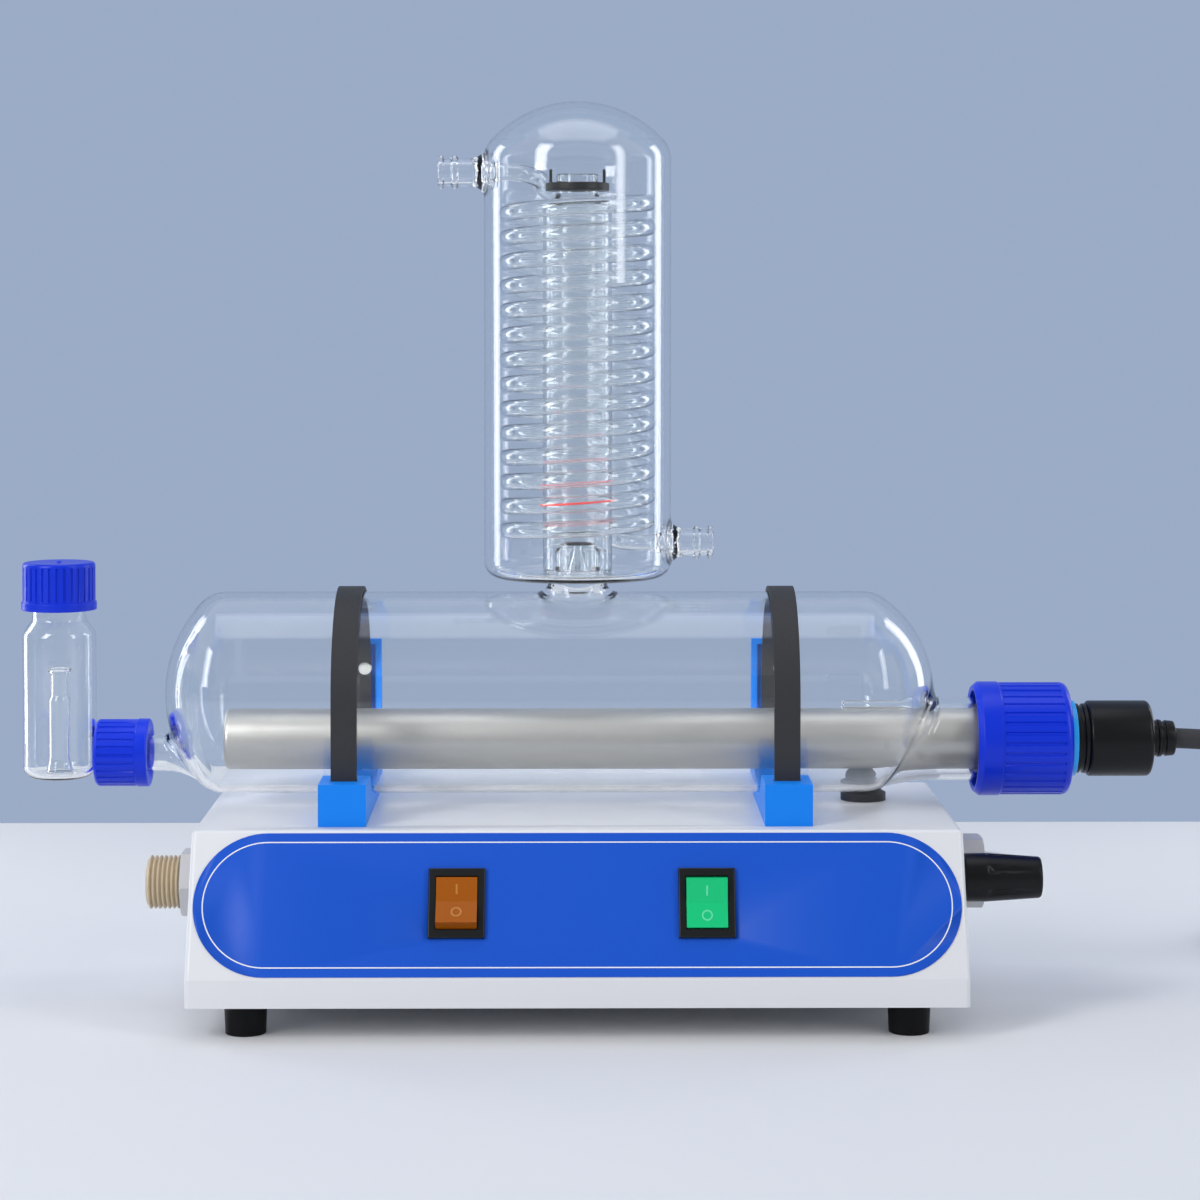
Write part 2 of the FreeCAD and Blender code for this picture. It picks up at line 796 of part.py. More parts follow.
def mains_inlet(x):
    """The socket for the mains lead: three pins stand in its well."""
    pins = [block(mid_x + x + dx - socket_pin_x / 2, mid_x + x + dx + socket_pin_x / 2,
                  rear_y - socket_well - socket_wall, rear_y - socket_well + socket_pin_length,
                  socket_z + dz - socket_pin_z / 2, socket_z + dz + socket_pin_z / 2)
            for dx, dz in pin_places()]
    return union(rear_socket(x), *pins)


def heater_outlet(x):
    """The socket for the heater's plug: a core with three slots stands in its well."""
    gap = socket_wall + shroud_wall + 2 * slip
    w = socket_width / 2 - gap
    h = socket_height / 2 - gap
    cx = mid_x + x
    core = block(cx - w, cx + w, rear_y - socket_well - socket_wall, rear_y, socket_z - h, socket_z + h)
    slots = [block(cx + dx - socket_pin_x / 2 - slip, cx + dx + socket_pin_x / 2 + slip,
                   rear_y - socket_pin_length, rear_y + cut_over,
                   socket_z + dz - socket_pin_z / 2 - slip, socket_z + dz + socket_pin_z / 2 + slip)
             for dx, dz in pin_places()]
    return union(rear_socket(x), core).cut(Part.makeCompound(slots))


def saddle_profile(x0):
    """Side view: a front block, the cradle under the glass, a step and the rear upright."""
    r = boiler_radius + slip
    step_z = base_top_z + saddle_step_height
    block_z = base_top_z + saddle_block_height
    front = axis_y - math.sqrt(r ** 2 - (boiler_z - block_z) ** 2)
    rear = axis_y + math.sqrt(r ** 2 - (boiler_z - step_z) ** 2)
    back_y = strap_outer() + slip + axis_y
    return outline([
        Vec(x0, axis_y - saddle_front, base_top_z),
        Vec(x0, axis_y - saddle_front, block_z),
        Vec(x0, front, block_z),
        (Vec(x0, axis_y, boiler_z - r), Vec(x0, rear, step_z)),
        Vec(x0, back_y, step_z),
        Vec(x0, back_y, base_top_z + saddle_back_height),
        Vec(x0, back_y + saddle_back_thick, base_top_z + saddle_back_height),
        Vec(x0, back_y + saddle_back_thick, base_top_z),
    ])


def strap_outer():
    return boiler_radius + slip + strap_thick


def saddle(x):
    """One saddle, with the strap's slot in its block and a sunk window in its upright."""
    x0 = mid_x + x - saddle_width / 2
    body = saddle_profile(x0).extrude(X_DIR * saddle_width)
    block_z = base_top_z + saddle_block_height
    y1 = axis_y - boiler_radius - slip
    slot = block(mid_x + x - saddle_slot_x / 2, mid_x + x + saddle_slot_x / 2,
                 y1 - strap_thick - slip, y1 + slip,
                 base_top_z + saddle_slot_floor, block_z + cut_over)
    back_y = axis_y + strap_outer() + slip
    window = block(x0 + saddle_window_rim, x0 + saddle_width - saddle_window_rim,
                   back_y - cut_over, back_y + saddle_window_depth,
                   base_top_z + saddle_step_height + saddle_window_rim,
                   base_top_z + saddle_back_height - saddle_window_rim)
    cuts = [slot, window, rod(peg_radius + running, Vec(mid_x + x + peg_side, back_y - cut_over,
                                                        base_top_z + peg_height), Y_DIR,
                              saddle_back_thick + 2 * cut_over)]
    for y in saddle_screw_ys:
        cuts.append(rod(saddle_screw_radius + running, Vec(mid_x + x, axis_y + y, base_top_z - cut_over),
                        Z_DIR, saddle_screw_depth + cut_over))
    return body.cut(Part.makeCompound(cuts))


def saddle_screw(x, y):
    """A screw from inside the box up into a saddle."""
    under = base_top_z - sheet
    head = rod(saddle_screw_head, Vec(x, y, under - saddle_screw_head_height), Z_DIR,
               saddle_screw_head_height)
    shank = rod(saddle_screw_radius, Vec(x, y, under), Z_DIR, sheet + saddle_screw_depth - slip)
    return union(head, shank)


def strap(x):
    """A rubber strap: up from the slot, over the glass and down to its peg."""
    x0 = mid_x + x - strap_width / 2
    r = boiler_radius + slip
    out = strap_outer()
    low = base_top_z + saddle_slot_floor
    tail = base_top_z + strap_tail_height
    band = outline([
        Vec(x0, axis_y - out, low), Vec(x0, axis_y - out, boiler_z),
        (Vec(x0, axis_y, boiler_z + out), Vec(x0, axis_y + out, boiler_z)),
        Vec(x0, axis_y + out, tail), Vec(x0, axis_y + r, tail), Vec(x0, axis_y + r, boiler_z),
        (Vec(x0, axis_y, boiler_z + r), Vec(x0, axis_y - r, boiler_z)), Vec(x0, axis_y - r, low),
    ]).extrude(X_DIR * strap_width)
    hole = rod(peg_radius + slip, Vec(mid_x + x + peg_side, axis_y, base_top_z + peg_height), Y_DIR,
               out + cut_over)
    return band.cut(hole)


def strap_peg(x):
    """A peg through the upright, whose tip stands in the strap's hole."""
    tip_y = axis_y + boiler_radius + 2 * slip
    back_y = axis_y + strap_outer() + slip + saddle_back_thick
    z = base_top_z + peg_height
    shank = rod(peg_radius, Vec(mid_x + x + peg_side, tip_y, z), Y_DIR, back_y - tip_y)
    head = rod(peg_head_radius, Vec(mid_x + x + peg_side, back_y, z), Y_DIR, peg_head_thick)
    return union(shank, head)


def control_board():
    """A circuit board with two relays and a transformer."""
    cx = mid_x + board_centre_x
    cy = board_mid_y
    z = foot_height + sheet + standoff_height
    board = block(cx - board_x / 2, cx + board_x / 2, cy - board_y / 2, cy + board_y / 2, z, z + board_thick)
    for sx in (-1, 1):
        for sy in (-1, 1):
            hole_at = Vec(cx + sx * (board_x / 2 - standoff_inset),
                          cy + sy * (board_y / 2 - standoff_inset), z - cut_over)
            board = board.cut(rod(standoff_radius / 2 + slip, hole_at, Z_DIR, board_thick + 2 * cut_over))
    top = z + board_thick
    parts = [block(x, x + relay_size, cy - relay_size / 2, cy + relay_size / 2, top, top + relay_height)
             for x in (cx, cx + relay_pitch)]
    x1 = cx - relay_pitch / 2
    parts.append(block(x1 - transformer_x, x1, cy - transformer_y / 2, cy + transformer_y / 2,
                       top, top + transformer_height))
    return union(board, *parts)


def board_standoffs():
    cx = mid_x + board_centre_x
    cy = board_mid_y
    z = foot_height + sheet
    posts = []
    for sx in (-1, 1):
        for sy in (-1, 1):
            foot_at = Vec(cx + sx * (board_x / 2 - standoff_inset),
                          cy + sy * (board_y / 2 - standoff_inset), z)
            posts.append(union(rod(standoff_radius, foot_at, Z_DIR, standoff_height),
                               rod(standoff_radius / 2, foot_at, Z_DIR, standoff_height + 2 * board_thick)))
    return posts


def terminal_block():
    """A row of screw terminals behind the board."""
    length = terminal_poles * terminal_pitch
    x0 = mid_x + board_centre_x - length / 2
    y0 = board_mid_y + (board_y + terminal_y) / 2
    z = foot_height + sheet
    body = block(x0, x0 + length, y0, y0 + terminal_y, z, z + terminal_height)
    first = Vec(x0 + terminal_pitch / 2, y0 + terminal_y / 2, z + terminal_height / 2)
    cuts = [rod(terminal_pitch / 3, first + X_DIR * (k * terminal_pitch), Z_DIR, terminal_height)
            for k in range(terminal_poles)]
    return body.cut(Part.makeCompound(cuts))


def dome(radius, height, knuckle, start, way):
    """Profile steps of a domed end: a knuckle arc, then a crown arc to the axis."""
    crown = ((radius - knuckle) ** 2 + height ** 2 - knuckle ** 2) / (2 * (height - knuckle))
    lean = math.atan2(radius - knuckle, crown - height)
    tangent = (crown * math.sin(lean), height - crown + crown * math.cos(lean))
    half_knuckle = (math.pi / 2 - lean) / 2
    mid1 = (radius - knuckle + knuckle * math.cos(half_knuckle), knuckle * math.sin(half_knuckle))
    mid2 = (crown * math.sin(lean / 2), height - crown + crown * math.cos(lean / 2))
    places = (mid1, tangent), (mid2, (0, height))
    return [(m[0], start + way * m[1], e[0], start + way * e[1]) for m, e in places]


def boiler_body(inset):
    """The boiler's inside or outside, as a solid of revolution."""
    r = boiler_radius - inset
    left = dome(r, left_dome - inset, boiler_knuckle - inset, -boiler_left, -1)
    right = dome(r, right_dome - inset, boiler_knuckle - inset, boiler_right, 1)
    profile = [(0, boiler_right + right_dome - inset)]
    back = [(right[1][0], right[1][1], right[0][2], right[0][3]), (right[0][0], right[0][1], r, boiler_right)]
    return turned(profile + back + [(r, -boiler_left)] + left, Vec(mid_x, axis_y, boiler_z), X_DIR)


def heater_z():
    return boiler_z - heater_neck_drop


def leveller_z():
    return boiler_z - left_neck_drop


def boiler_vessel():
    """Glass boiler with a small neck left, the heater's threaded neck right and a neck on top."""
    centre = Vec(mid_x, axis_y, 0)
    right_start = centre + Vec(boiler_right, 0, heater_z())
    right_len = heater_cap_x + heater_neck_in - boiler_right
    left_start = centre + Vec(-boiler_left, 0, leveller_z())
    left_len = leveller_tube_end() - boiler_left
    top = jacket_floor_z - boiler_top_z
    outer = union(
        boiler_body(0),
        rod(heater_neck_radius, right_start, X_DIR, right_len),
        rod(heater_thread_radius, right_start + X_DIR * (right_len - heater_thread_length), X_DIR,
            heater_thread_length),
        rod(left_neck_radius, left_start, -X_DIR, left_len),
        top_neck(0, top),
        well_tube(0),
    )
    inner = union(
        boiler_body(boiler_wall),
        rod(heater_neck_radius - heater_neck_wall, right_start, X_DIR, right_len + cut_over),
        rod(left_neck_radius - boiler_wall / 2, left_start, -X_DIR, left_len + cut_over),
        top_neck(top_neck_wall, top + cut_over),
    )
    return outer.cut(inner)


def top_neck(inset, rise):
    """The flared neck between boiler and condenser."""
    start = -boiler_wall - inset
    r = top_neck_radius - inset
    share = half_arc_share
    return turned([
        (0, start), (r + top_neck_flare, start), (r + top_neck_flare, 0),
        (r + top_neck_flare * (1 - share), (rise - inset) * (1 - share), r, rise - inset / 2),
        (r, rise), (0, rise),
    ], Vec(mid_x, axis_y, boiler_top_z), Z_DIR)


def well_tube(inset):
    """The small closed tube for the thermostat, blown in from the right shoulder."""
    start = Vec(mid_x + well_x, axis_y, boiler_z - well_drop)
    return rod(well_radius - inset, start, X_DIR, boiler_right + right_dome - boiler_wall - well_x)


def leveller_tube_end():
    """How far left of the condenser axis the boiler's small neck ends, inside the vial's arm."""
    return vial_offset - vial_arm_end() + leveller_tube_in


def ribbed(radius, length, start, axis, ribs, wide=0.0, wide_length=0.0):
    """A screw cap's outside: a ribbed wall and a plain flange at its open end."""
    side = Y_DIR if axis == X_DIR else X_DIR
    other = axis.cross(side)

    def place(r, a):
        return start + side * (r * math.cos(a)) + other * (r * math.sin(a))

    pitch = 2 * math.pi / ribs
    low = radius - rib_depth
    steps = [place(radius, 0)]
    for k in range(ribs):
        a = k * pitch
        steps.append((place(radius, a + pitch * rib_land_share / 2),
                      place(radius, a + pitch * rib_land_share)))
        steps.append(place(low, a + pitch * (rib_land_share + rib_flank_share)))
        steps.append(place(low, a + pitch * (1 - rib_flank_share)))
        if k < ribs - 1:
            steps.append(place(radius, a + pitch))
    wall = outline(steps).extrude(axis * length)
    if wide_length:
        wall = wall.fuse(rod(wide, start, axis, wide_length))
    return wall


def heater_cap():
    """The big blue screw cap: flange at the boiler's side, ribs, and a round-edged end with a hole."""
    start = Vec(mid_x + heater_cap_x, axis_y, heater_z())
    body = ribbed(heater_cap_radius, heater_cap_length, start, X_DIR, heater_cap_ribs,
                  heater_cap_flange_radius, heater_cap_flange)
    body = body.common(turned([
        (0, 0), (heater_cap_flange_radius, 0),
        (heater_cap_flange_radius, heater_cap_length - heater_cap_round),
        (heater_cap_flange_radius - heater_cap_round, heater_cap_length),
        (0, heater_cap_length)], start, X_DIR))
    well = heater_neck_in + heater_seal_thick + heater_washer_thick + 2 * seam
    body = body.cut(rod(heater_cap_bore, start - X_DIR * cut_over, X_DIR, well + cut_over))
    return body.cut(rod(heater_cap_mouth, start, X_DIR, heater_cap_length + cut_over))


def heater_seal():
    start = Vec(mid_x + heater_cap_x + heater_neck_in + seam, axis_y, heater_z())
    return pipe(heater_seal_radius, sheath_radius + seam, start, X_DIR, heater_seal_thick - seam)


def heater_washer():
    start = Vec(mid_x + heater_cap_x + heater_neck_in + heater_seal_thick + seam, axis_y, heater_z())
    return pipe(heater_seal_radius, heater_cap_mouth, start, X_DIR, heater_washer_thick)


def heater_sheath():
    """The steel sheath, closed and rounded inside the boiler, open towards its terminals."""
    start = Vec(mid_x - boiler_left, axis_y, heater_z())
    length = heater_cap_x + heater_cap_length + terminal_seat + boiler_left
    share = half_arc_share
    r = sheath_radius
    body = turned([(0, 0), (r - sheath_round, 0),
                   (r - sheath_round * (1 - share), sheath_round * (1 - share), r, sheath_round),
                   (r, length), (0, length)], start, X_DIR)
    hollow = turned([(0, sheath_wall), (r - sheath_round, sheath_wall), (r - sheath_wall, sheath_round),
                     (r - sheath_wall, length + cut_over), (0, length + cut_over)], start, X_DIR)
    return body.cut(hollow)


def heater_ring():
    start = Vec(mid_x + heater_cap_x + heater_cap_length + seam, axis_y, heater_z())
    return pipe(heater_ring_radius, sheath_radius + seam, start, X_DIR, heater_ring_length - seam)


def heater_flange():
    """A grooved black ring between the cyan ring and the terminal cap."""
    start = Vec(mid_x + heater_cap_x + heater_cap_length + heater_ring_length, axis_y, heater_z())
    n = heater_flange_length
    return turned([
        (sheath_radius + seam, 0), (heater_flange_radius, 0), (heater_flange_radius, n / 3),
        (heater_groove_radius, n / 3), (heater_groove_radius, n * 2 / 3), (heater_flange_radius, n * 2 / 3),
        (heater_flange_radius, n), (sheath_radius + seam, n)], start, X_DIR)


def terminal_cap():
    """The black cap over the heater's terminals, round-edged, with a hole for the strain relief."""
    start = Vec(mid_x + terminal_x(), axis_y, heater_z())
    n = terminal_length
    return turned([
        (terminal_bore, -terminal_seat + seam), (sheath_radius - sheath_wall - seam, -terminal_seat + seam),
        (sheath_radius - sheath_wall - seam, terminal_seat), (terminal_radius - terminal_round, 0),
        (terminal_radius, terminal_round), (terminal_radius, n - terminal_round),
        (terminal_radius - terminal_round, n),
        (relief_tip_radius - relief_groove_depth, n),
        (relief_tip_radius - relief_groove_depth, n - terminal_wall),
        (terminal_bore, n - terminal_wall)], start, X_DIR)


def terminal_x():
    return heater_cap_x + heater_cap_length + heater_ring_length + heater_flange_length


def strain_relief():
    """A grooved rubber sleeve with a collar inside the terminal cap."""
    start = Vec(mid_x + terminal_x() + terminal_length, axis_y, heater_z())
    shank = relief_tip_radius - relief_groove_depth - seam
    profile = [(lead_core_radius, -2 * terminal_wall), (relief_radius, -2 * terminal_wall),
               (relief_radius, -terminal_wall - seam), (shank, -terminal_wall - seam), (shank, 0),
               (relief_radius, 0)]
    step = relief_length / (2 * relief_grooves + 1)
    taper = (relief_radius - relief_tip_radius) / relief_length
    for k in range(relief_grooves):
        x0 = step * (2 * k + 1)
        r0 = relief_radius - taper * x0
        profile += [(r0, x0), (r0 - relief_groove_depth, x0), (r0 - relief_groove_depth, x0 + step),
                    (r0 - taper * step, x0 + step)]
    profile += [(relief_tip_radius, relief_length), (lead_core_radius, relief_length)]
    return turned(profile, start, X_DIR)


def level_vial():
    """The level vessel: a bottle with a threaded top neck and a threaded side arm."""
    centre = Vec(mid_x - vial_offset, axis_y, vial_floor_z)
    outer = union(vial_body(0).translated(centre),
                  rod(vial_arm_radius, centre + Z_DIR * (leveller_z() - vial_floor_z), X_DIR, vial_arm_end()))
    inner = union(vial_body(vial_wall).translated(centre),
                  rod(left_neck_radius + slip, centre + Z_DIR * (leveller_z() - vial_floor_z), X_DIR,
                      vial_arm_end() + cut_over))
    return outer.cut(inner)


def vial_arm_end():
    """How far the side arm reaches from the vial's axis, inside its cap."""
    return vial_radius + leveller_cap_gap + leveller_cap_length - leveller_cap_end - leveller_thread_gap


def vial_body(inset):
    r = vial_radius - inset
    k = vial_floor_round - inset
    share = half_arc_share
    neck = vial_neck_radius - inset
    shoulder = vial_shoulder_z - vial_floor_z
    neck_z = vial_neck_z - vial_floor_z
    top = vial_top_z() - vial_floor_z + (cut_over if inset else 0)
    thread_z = vial_cap_z - vial_floor_z
    if inset:
        profile = [(0, inset), (r - k, inset), (r, inset + k), (r, shoulder), (neck, neck_z), (neck, top)]
    else:
        profile = [(0, 0), (r - k, 0), (r - k * (1 - share), k * (1 - share), r, k), (r, shoulder),
                   (neck + (r - neck) * share, shoulder + (neck_z - shoulder) * share, neck, neck_z),
                   (neck, thread_z), (vial_thread_radius, thread_z), (vial_thread_radius, top)]
    profile.append((0, top))
    return turned(profile, Vec(0, 0, 0), Z_DIR)


def vial_top_z():
    return vial_cap_z + vial_cap_height - vial_cap_top - vial_liner_thick


def vial_standpipe():
    """The overflow pipe that sets the water level: a wide foot, a pipe, a step and a rimmed top."""
    floor = vial_floor_z + vial_wall
    r = standpipe_radius
    s = standpipe_slim_radius
    w = standpipe_wall
    top = standpipe_top_z - floor
    step = standpipe_step_z - floor
    return turned([
        (standpipe_foot_radius - w, 0), (standpipe_foot_radius, 0), (r - w / 2, standpipe_foot_height),
        (r, step - w), (r, step), (s, step + w), (s, top - 2 * w), (r, top - w / 2), (r, top), (r - w, top),
        (s - w, top - 2 * w), (s - w, step), (r - w, step - w), (r - w - w / 2, standpipe_foot_height),
    ], Vec(mid_x - vial_offset, axis_y, floor), Z_DIR)


def vial_cap():
    """The blue screw cap of the vial, flange below, with a small sprue mark on top."""
    start = Vec(mid_x - vial_offset, axis_y, vial_cap_z)
    body = ribbed(vial_cap_radius, vial_cap_height, start, Z_DIR, vial_cap_ribs, vial_flange_radius,
                  vial_cap_flange)
    edge = vial_cap_top
    body = body.common(turned([
        (0, 0), (vial_flange_radius, 0), (vial_flange_radius, vial_cap_height - edge - edge / 2),
        (vial_cap_radius - edge, vial_cap_height), (0, vial_cap_height)], start, Z_DIR))
    body = body.fuse(rod(vial_cap_top / 2, start + Z_DIR * vial_cap_height, Z_DIR, vial_cap_nub))
    return body.cut(rod(vial_cap_bore, start - Z_DIR * cut_over, Z_DIR,
                        vial_cap_height - vial_cap_top - seam + cut_over))


def vial_cap_liner():
    start = Vec(mid_x - vial_offset, axis_y, vial_top_z())
    return rod(vial_cap_bore - slip, start, Z_DIR, vial_liner_thick - 2 * seam)


def leveller_cap():
    """The small blue cap between vial and boiler, its flange and mouth towards the boiler."""
    start = Vec(mid_x - vial_offset + vial_radius + leveller_cap_gap + leveller_cap_length, axis_y,
                leveller_z())
    back = -X_DIR
    body = ribbed(leveller_cap_radius, leveller_cap_length, start + back * leveller_cap_length, X_DIR,
                  leveller_cap_ribs)
    body = body.fuse(rod(leveller_cap_flange_radius, start, back, leveller_cap_flange))
    body = body.cut(rod(leveller_cap_bore, start + back * leveller_cap_end, back, leveller_cap_length))
    body = body.cut(rod(leveller_cap_mouth, start + X_DIR * cut_over, back, leveller_cap_length))
    return body.cut(turned([(0, 0), (leveller_cap_bore, 0), (leveller_cap_mouth, leveller_cap_end / 2),
                            (0, leveller_cap_end / 2)], start, -X_DIR))


def leveller_washer():
    x = mid_x - vial_offset + vial_radius + leveller_cap_gap + leveller_cap_length - leveller_cap_end - seam
    return pipe(leveller_cap_bore - slip, left_neck_radius + slip, Vec(x, axis_y, leveller_z()), -X_DIR,
                leveller_washer_thick)


def leveller_seal():
    x = mid_x - vial_offset + vial_arm_end() + seam
    length = leveller_thread_gap - leveller_washer_thick - 3 * seam
    return pipe(vial_arm_radius, left_neck_radius + seam, Vec(x, axis_y, leveller_z()), X_DIR, length)


def heater_core():
    """Ceramic bobbins on one rod, which carry the heating wire inside the sheath."""
    r = sheath_radius - sheath_wall - slip
    low = r - bobbin_groove
    length = heater_cap_x + boiler_left - sheath_round - bobbin_end
    pitch = length / bobbins
    profile = [(0, 0), (r, 0)]
    for k in range(bobbins):
        x = pitch * k
        profile += [(r, x + bobbin_flange), (low, x + bobbin_flange), (low, x + pitch - bobbin_flange),
                    (r, x + pitch - bobbin_flange)]
    profile += [(r, length), (0, length)]
    return turned(profile, Vec(mid_x - boiler_left + sheath_round, axis_y, heater_z()), X_DIR)


def jacket_body(inset):
    """The condenser jacket's inside or outside, from its rounded floor to its dome."""
    r = jacket_radius - inset
    k = jacket_round - inset
    share = half_arc_share
    low = jacket_floor_z + inset
    roof = dome(r, jacket_dome_height - inset, jacket_knuckle - inset, jacket_shoulder_z, 1)
    profile = [(0, low), (r - k, low), (r - k * (1 - share), low + k * (1 - share), r, low + k),
               (r, jacket_shoulder_z)] + roof
    return turned(profile, Vec(mid_x, axis_y, 0), Z_DIR)


def arm_outside(reach):
    """A hose arm along +X from the condenser axis: tapered inside, flared at the wall, beaded at its tip."""
    share = half_arc_share
    wall_x = jacket_radius - jacket_wall / 2
    mid = (arm_radius + (arm_flare - arm_radius) * (1 - share), wall_x + arm_flare_length * (1 - share))
    bead_1 = reach - arm_bead_span
    bead_2 = reach - arm_bead_length
    return turned([
        (0, arm_tip), (coil_wire + seam, arm_tip), (arm_flare, wall_x),
        (mid[0], mid[1], arm_radius, wall_x + arm_flare_length), (arm_radius, bead_1),
        (arm_bead, bead_1 + arm_bead_length / 3), (arm_bead, bead_1 + arm_bead_length * 2 / 3),
        (arm_radius, bead_1 + arm_bead_length), (arm_radius, bead_2),
        (arm_bead, bead_2 + arm_bead_length / 3),
        (arm_bead, bead_2 + arm_bead_length * 2 / 3), (arm_radius, reach), (0, reach),
    ], Vec(0, 0, 0), X_DIR)


def arm_inside(reach):
    return turned([
        (0, arm_tip - cut_over), (coil_wire - coil_wall, arm_tip - cut_over),
        (coil_wire - coil_wall, arm_tip),
        (arm_bore, jacket_radius + arm_flare_length), (arm_bore, reach + cut_over), (0, reach + cut_over),
    ], Vec(0, 0, 0), X_DIR)


def arm_places():
    """Turn about Z, height and reach of the upper left arm and of the lower right one."""
    return (180, upper_arm_z, upper_arm_reach), (0, lower_arm_z, lower_arm_reach)


def placed_arm(shape, turn, z):
    shape = shape.copy()
    shape.rotate(Vec(0, 0, 0), Z_DIR, turn)
    return shape.translated(Vec(mid_x, axis_y, z))


def condenser_jacket():
    """The glass jacket with its two cooling water arms and the distillate outlet at the back."""
    outer = [jacket_body(0)]
    inner = [jacket_body(jacket_wall)]
    arms = []
    bores = []
    for turn, z, reach in arm_places():
        arms.append(placed_arm(arm_outside(reach), turn, z))
        bores.append(placed_arm(arm_inside(reach), turn, z))
    root = jacket_radius - jacket_wall / 2
    drain = rod(arm_radius, Vec(mid_x, axis_y + root, drain_arm_z), Y_DIR, drain_arm_reach - root)
    drain_bore = rod(arm_bore, Vec(mid_x, axis_y + root - cut_over, drain_arm_z), Y_DIR,
                     drain_arm_reach - root + 2 * cut_over)
    hole = rod(riser_radius + seam, Vec(mid_x, axis_y, jacket_floor_z - cut_over), Z_DIR,
               jacket_wall + 2 * cut_over)
    body = outer[0].cut(inner[0])
    body = union(body, *arms, drain)
    return body.cut(Part.makeCompound(bores + [drain_bore, hole]))


def biarc(p1, t1, p2, t2):
    """Two arcs that leave p1 along t1 and reach p2 along t2, as edges, with their radii."""
    v = p2 - p1
    a = 2 * (1 - t1.dot(t2))
    b = 2 * v.dot(t1 + t2)
    c = v.dot(v)
    d = c / b * 2 if a < 1e-9 else (-b + math.sqrt(b * b + 4 * a * c)) / (2 * a)
    mid = (p1 + p2 + (t1 - t2) * d) * 0.5
    edges = []
    radii = []
    for start, corner_at, end in ((p1, p1 + t1 * d, mid), (mid, p2 - t2 * d, p2)):
        base = (start + end) * 0.5
        out = corner_at - base
        half = (end - start).Length / 2
        turn = math.atan2(out.Length, half)
        top = base + out.normalize() * (half * math.tan(turn / 2))
        edges.append(Part.Arc(start, top, end).toShape())
        radii.append(half / math.sin(turn))
    return edges, radii


def coil_stations():
    """Places and headings along the coil: lower arm, the climb in quarter turns, upper arm."""
    centre = Vec(mid_x, axis_y, 0)
    stations = [(centre + Vec(arm_tip, 0, lower_arm_z), -X_DIR)]
    slope = coil_pitch / (2 * math.pi * coil_radius)
    for k in range(2 * coil_turns + 1):
        a = math.pi / 2 + math.pi * k
        at = centre + Vec(coil_radius * math.cos(a), coil_radius * math.sin(a),
                          coil_start_z + coil_pitch * k / 2)
        stations.append((at, Vec(-math.sin(a), math.cos(a), slope).normalize()))
    stations.append((centre + Vec(-arm_tip, 0, upper_arm_z), -X_DIR))
    return stations


def condenser_coil():
    """One glass tube: from each arm an S to the back, and the turns between them."""
    stations = coil_stations()
    edges = []
    radii = []
    for (p1, t1), (p2, t2) in zip(stations[:-1], stations[1:]):
        arcs, r = biarc(p1, t1, p2, t2)
        edges += arcs
        radii += r
    path = Part.Wire(edges)
    section = Part.Wire(Part.makeCircle(coil_wire, edges[0].Vertexes[0].Point, X_DIR))
    tube = Part.BRepOffsetAPI.MakePipeShell(path)
    tube.add(section)
    tube.build()
    tube.makeSolid()
    solid = tube.shape()
    print("coil radii", round(min(radii), 2), "to", round(max(radii), 2))
    print("coil gap to itself", round(least_gap(path, 2 * coil_wire), 2), "length", round(path.Length))
    print("coil volume share", round(solid.Volume / (math.pi * coil_wire ** 2 * path.Length), 4))
    return solid


def least_gap(path, width):
    """The least distance between two stretches of a tube that aren't neighbours along it."""
    step = width / 4
    points = path.discretize(Distance=step)
    away = int(math.pi * width / step)
    best = path.Length
    for i in range(0, len(points) - away):
        for j in range(i + away, min(len(points), i + 12 * away)):
            best = min(best, points[i].distanceToPoint(points[j]))
    return best - width


def vapour_tube():
    """The inner tube that leads the steam to the top of the condenser, necked in above."""
    floor = jacket_floor_z + jacket_wall
    r = vapour_radius
    w = vapour_wall
    n = vapour_neck_radius
    return turned([
        (r - w, floor), (r, floor), (r, vapour_shoulder_z), (n, vapour_neck_z), (n, vapour_top_z),
        (n - w, vapour_top_z), (n - w, vapour_neck_z - w / 2), (r - w, vapour_shoulder_z - w / 2),
    ], Vec(mid_x, axis_y, 0), Z_DIR)


def vapour_riser():
    """The short jet that brings the steam through the condenser's floor."""
    low = jacket_floor_z - riser_below
    w = riser_wall
    return turned([
        (riser_radius - w, low), (riser_radius, low),
        (riser_radius, jacket_floor_z + jacket_wall + riser_below),
        (riser_tip_radius, riser_top_z), (riser_tip_radius - w, riser_top_z),
        (riser_radius - w, jacket_floor_z + jacket_wall + riser_below),
    ], Vec(mid_x, axis_y, 0), Z_DIR)


def splash_cap():
    """A glass bell over the jet, with mouths round its foot for the steam."""
    floor = jacket_floor_z + jacket_wall
    height = splash_top_z - floor
    centre = Vec(mid_x, axis_y, floor)
    r = splash_radius
    w = splash_wall
    wall = height - r * splash_dome_share
    top = dome(r, height - wall, r * splash_knuckle_share, wall, 1)
    bell = turned([(0, 0), (r, 0), (r, wall)] + top, centre, Z_DIR)
    bell = bell.cut(turned([(0, -cut_over), (r - w, -cut_over), (r - w, wall), (r / 2, height - w),
                            (0, height - w)],
                           centre, Z_DIR))
    for k in range(splash_slots):
        slot = block(0, r + cut_over, -splash_slot / 2, splash_slot / 2, -cut_over, splash_slot / 2)
        slot.rotate(Vec(0, 0, 0), Z_DIR, 90 + 360 * k / splash_slots)
        bell = bell.cut(slot.translated(centre))
    return bell


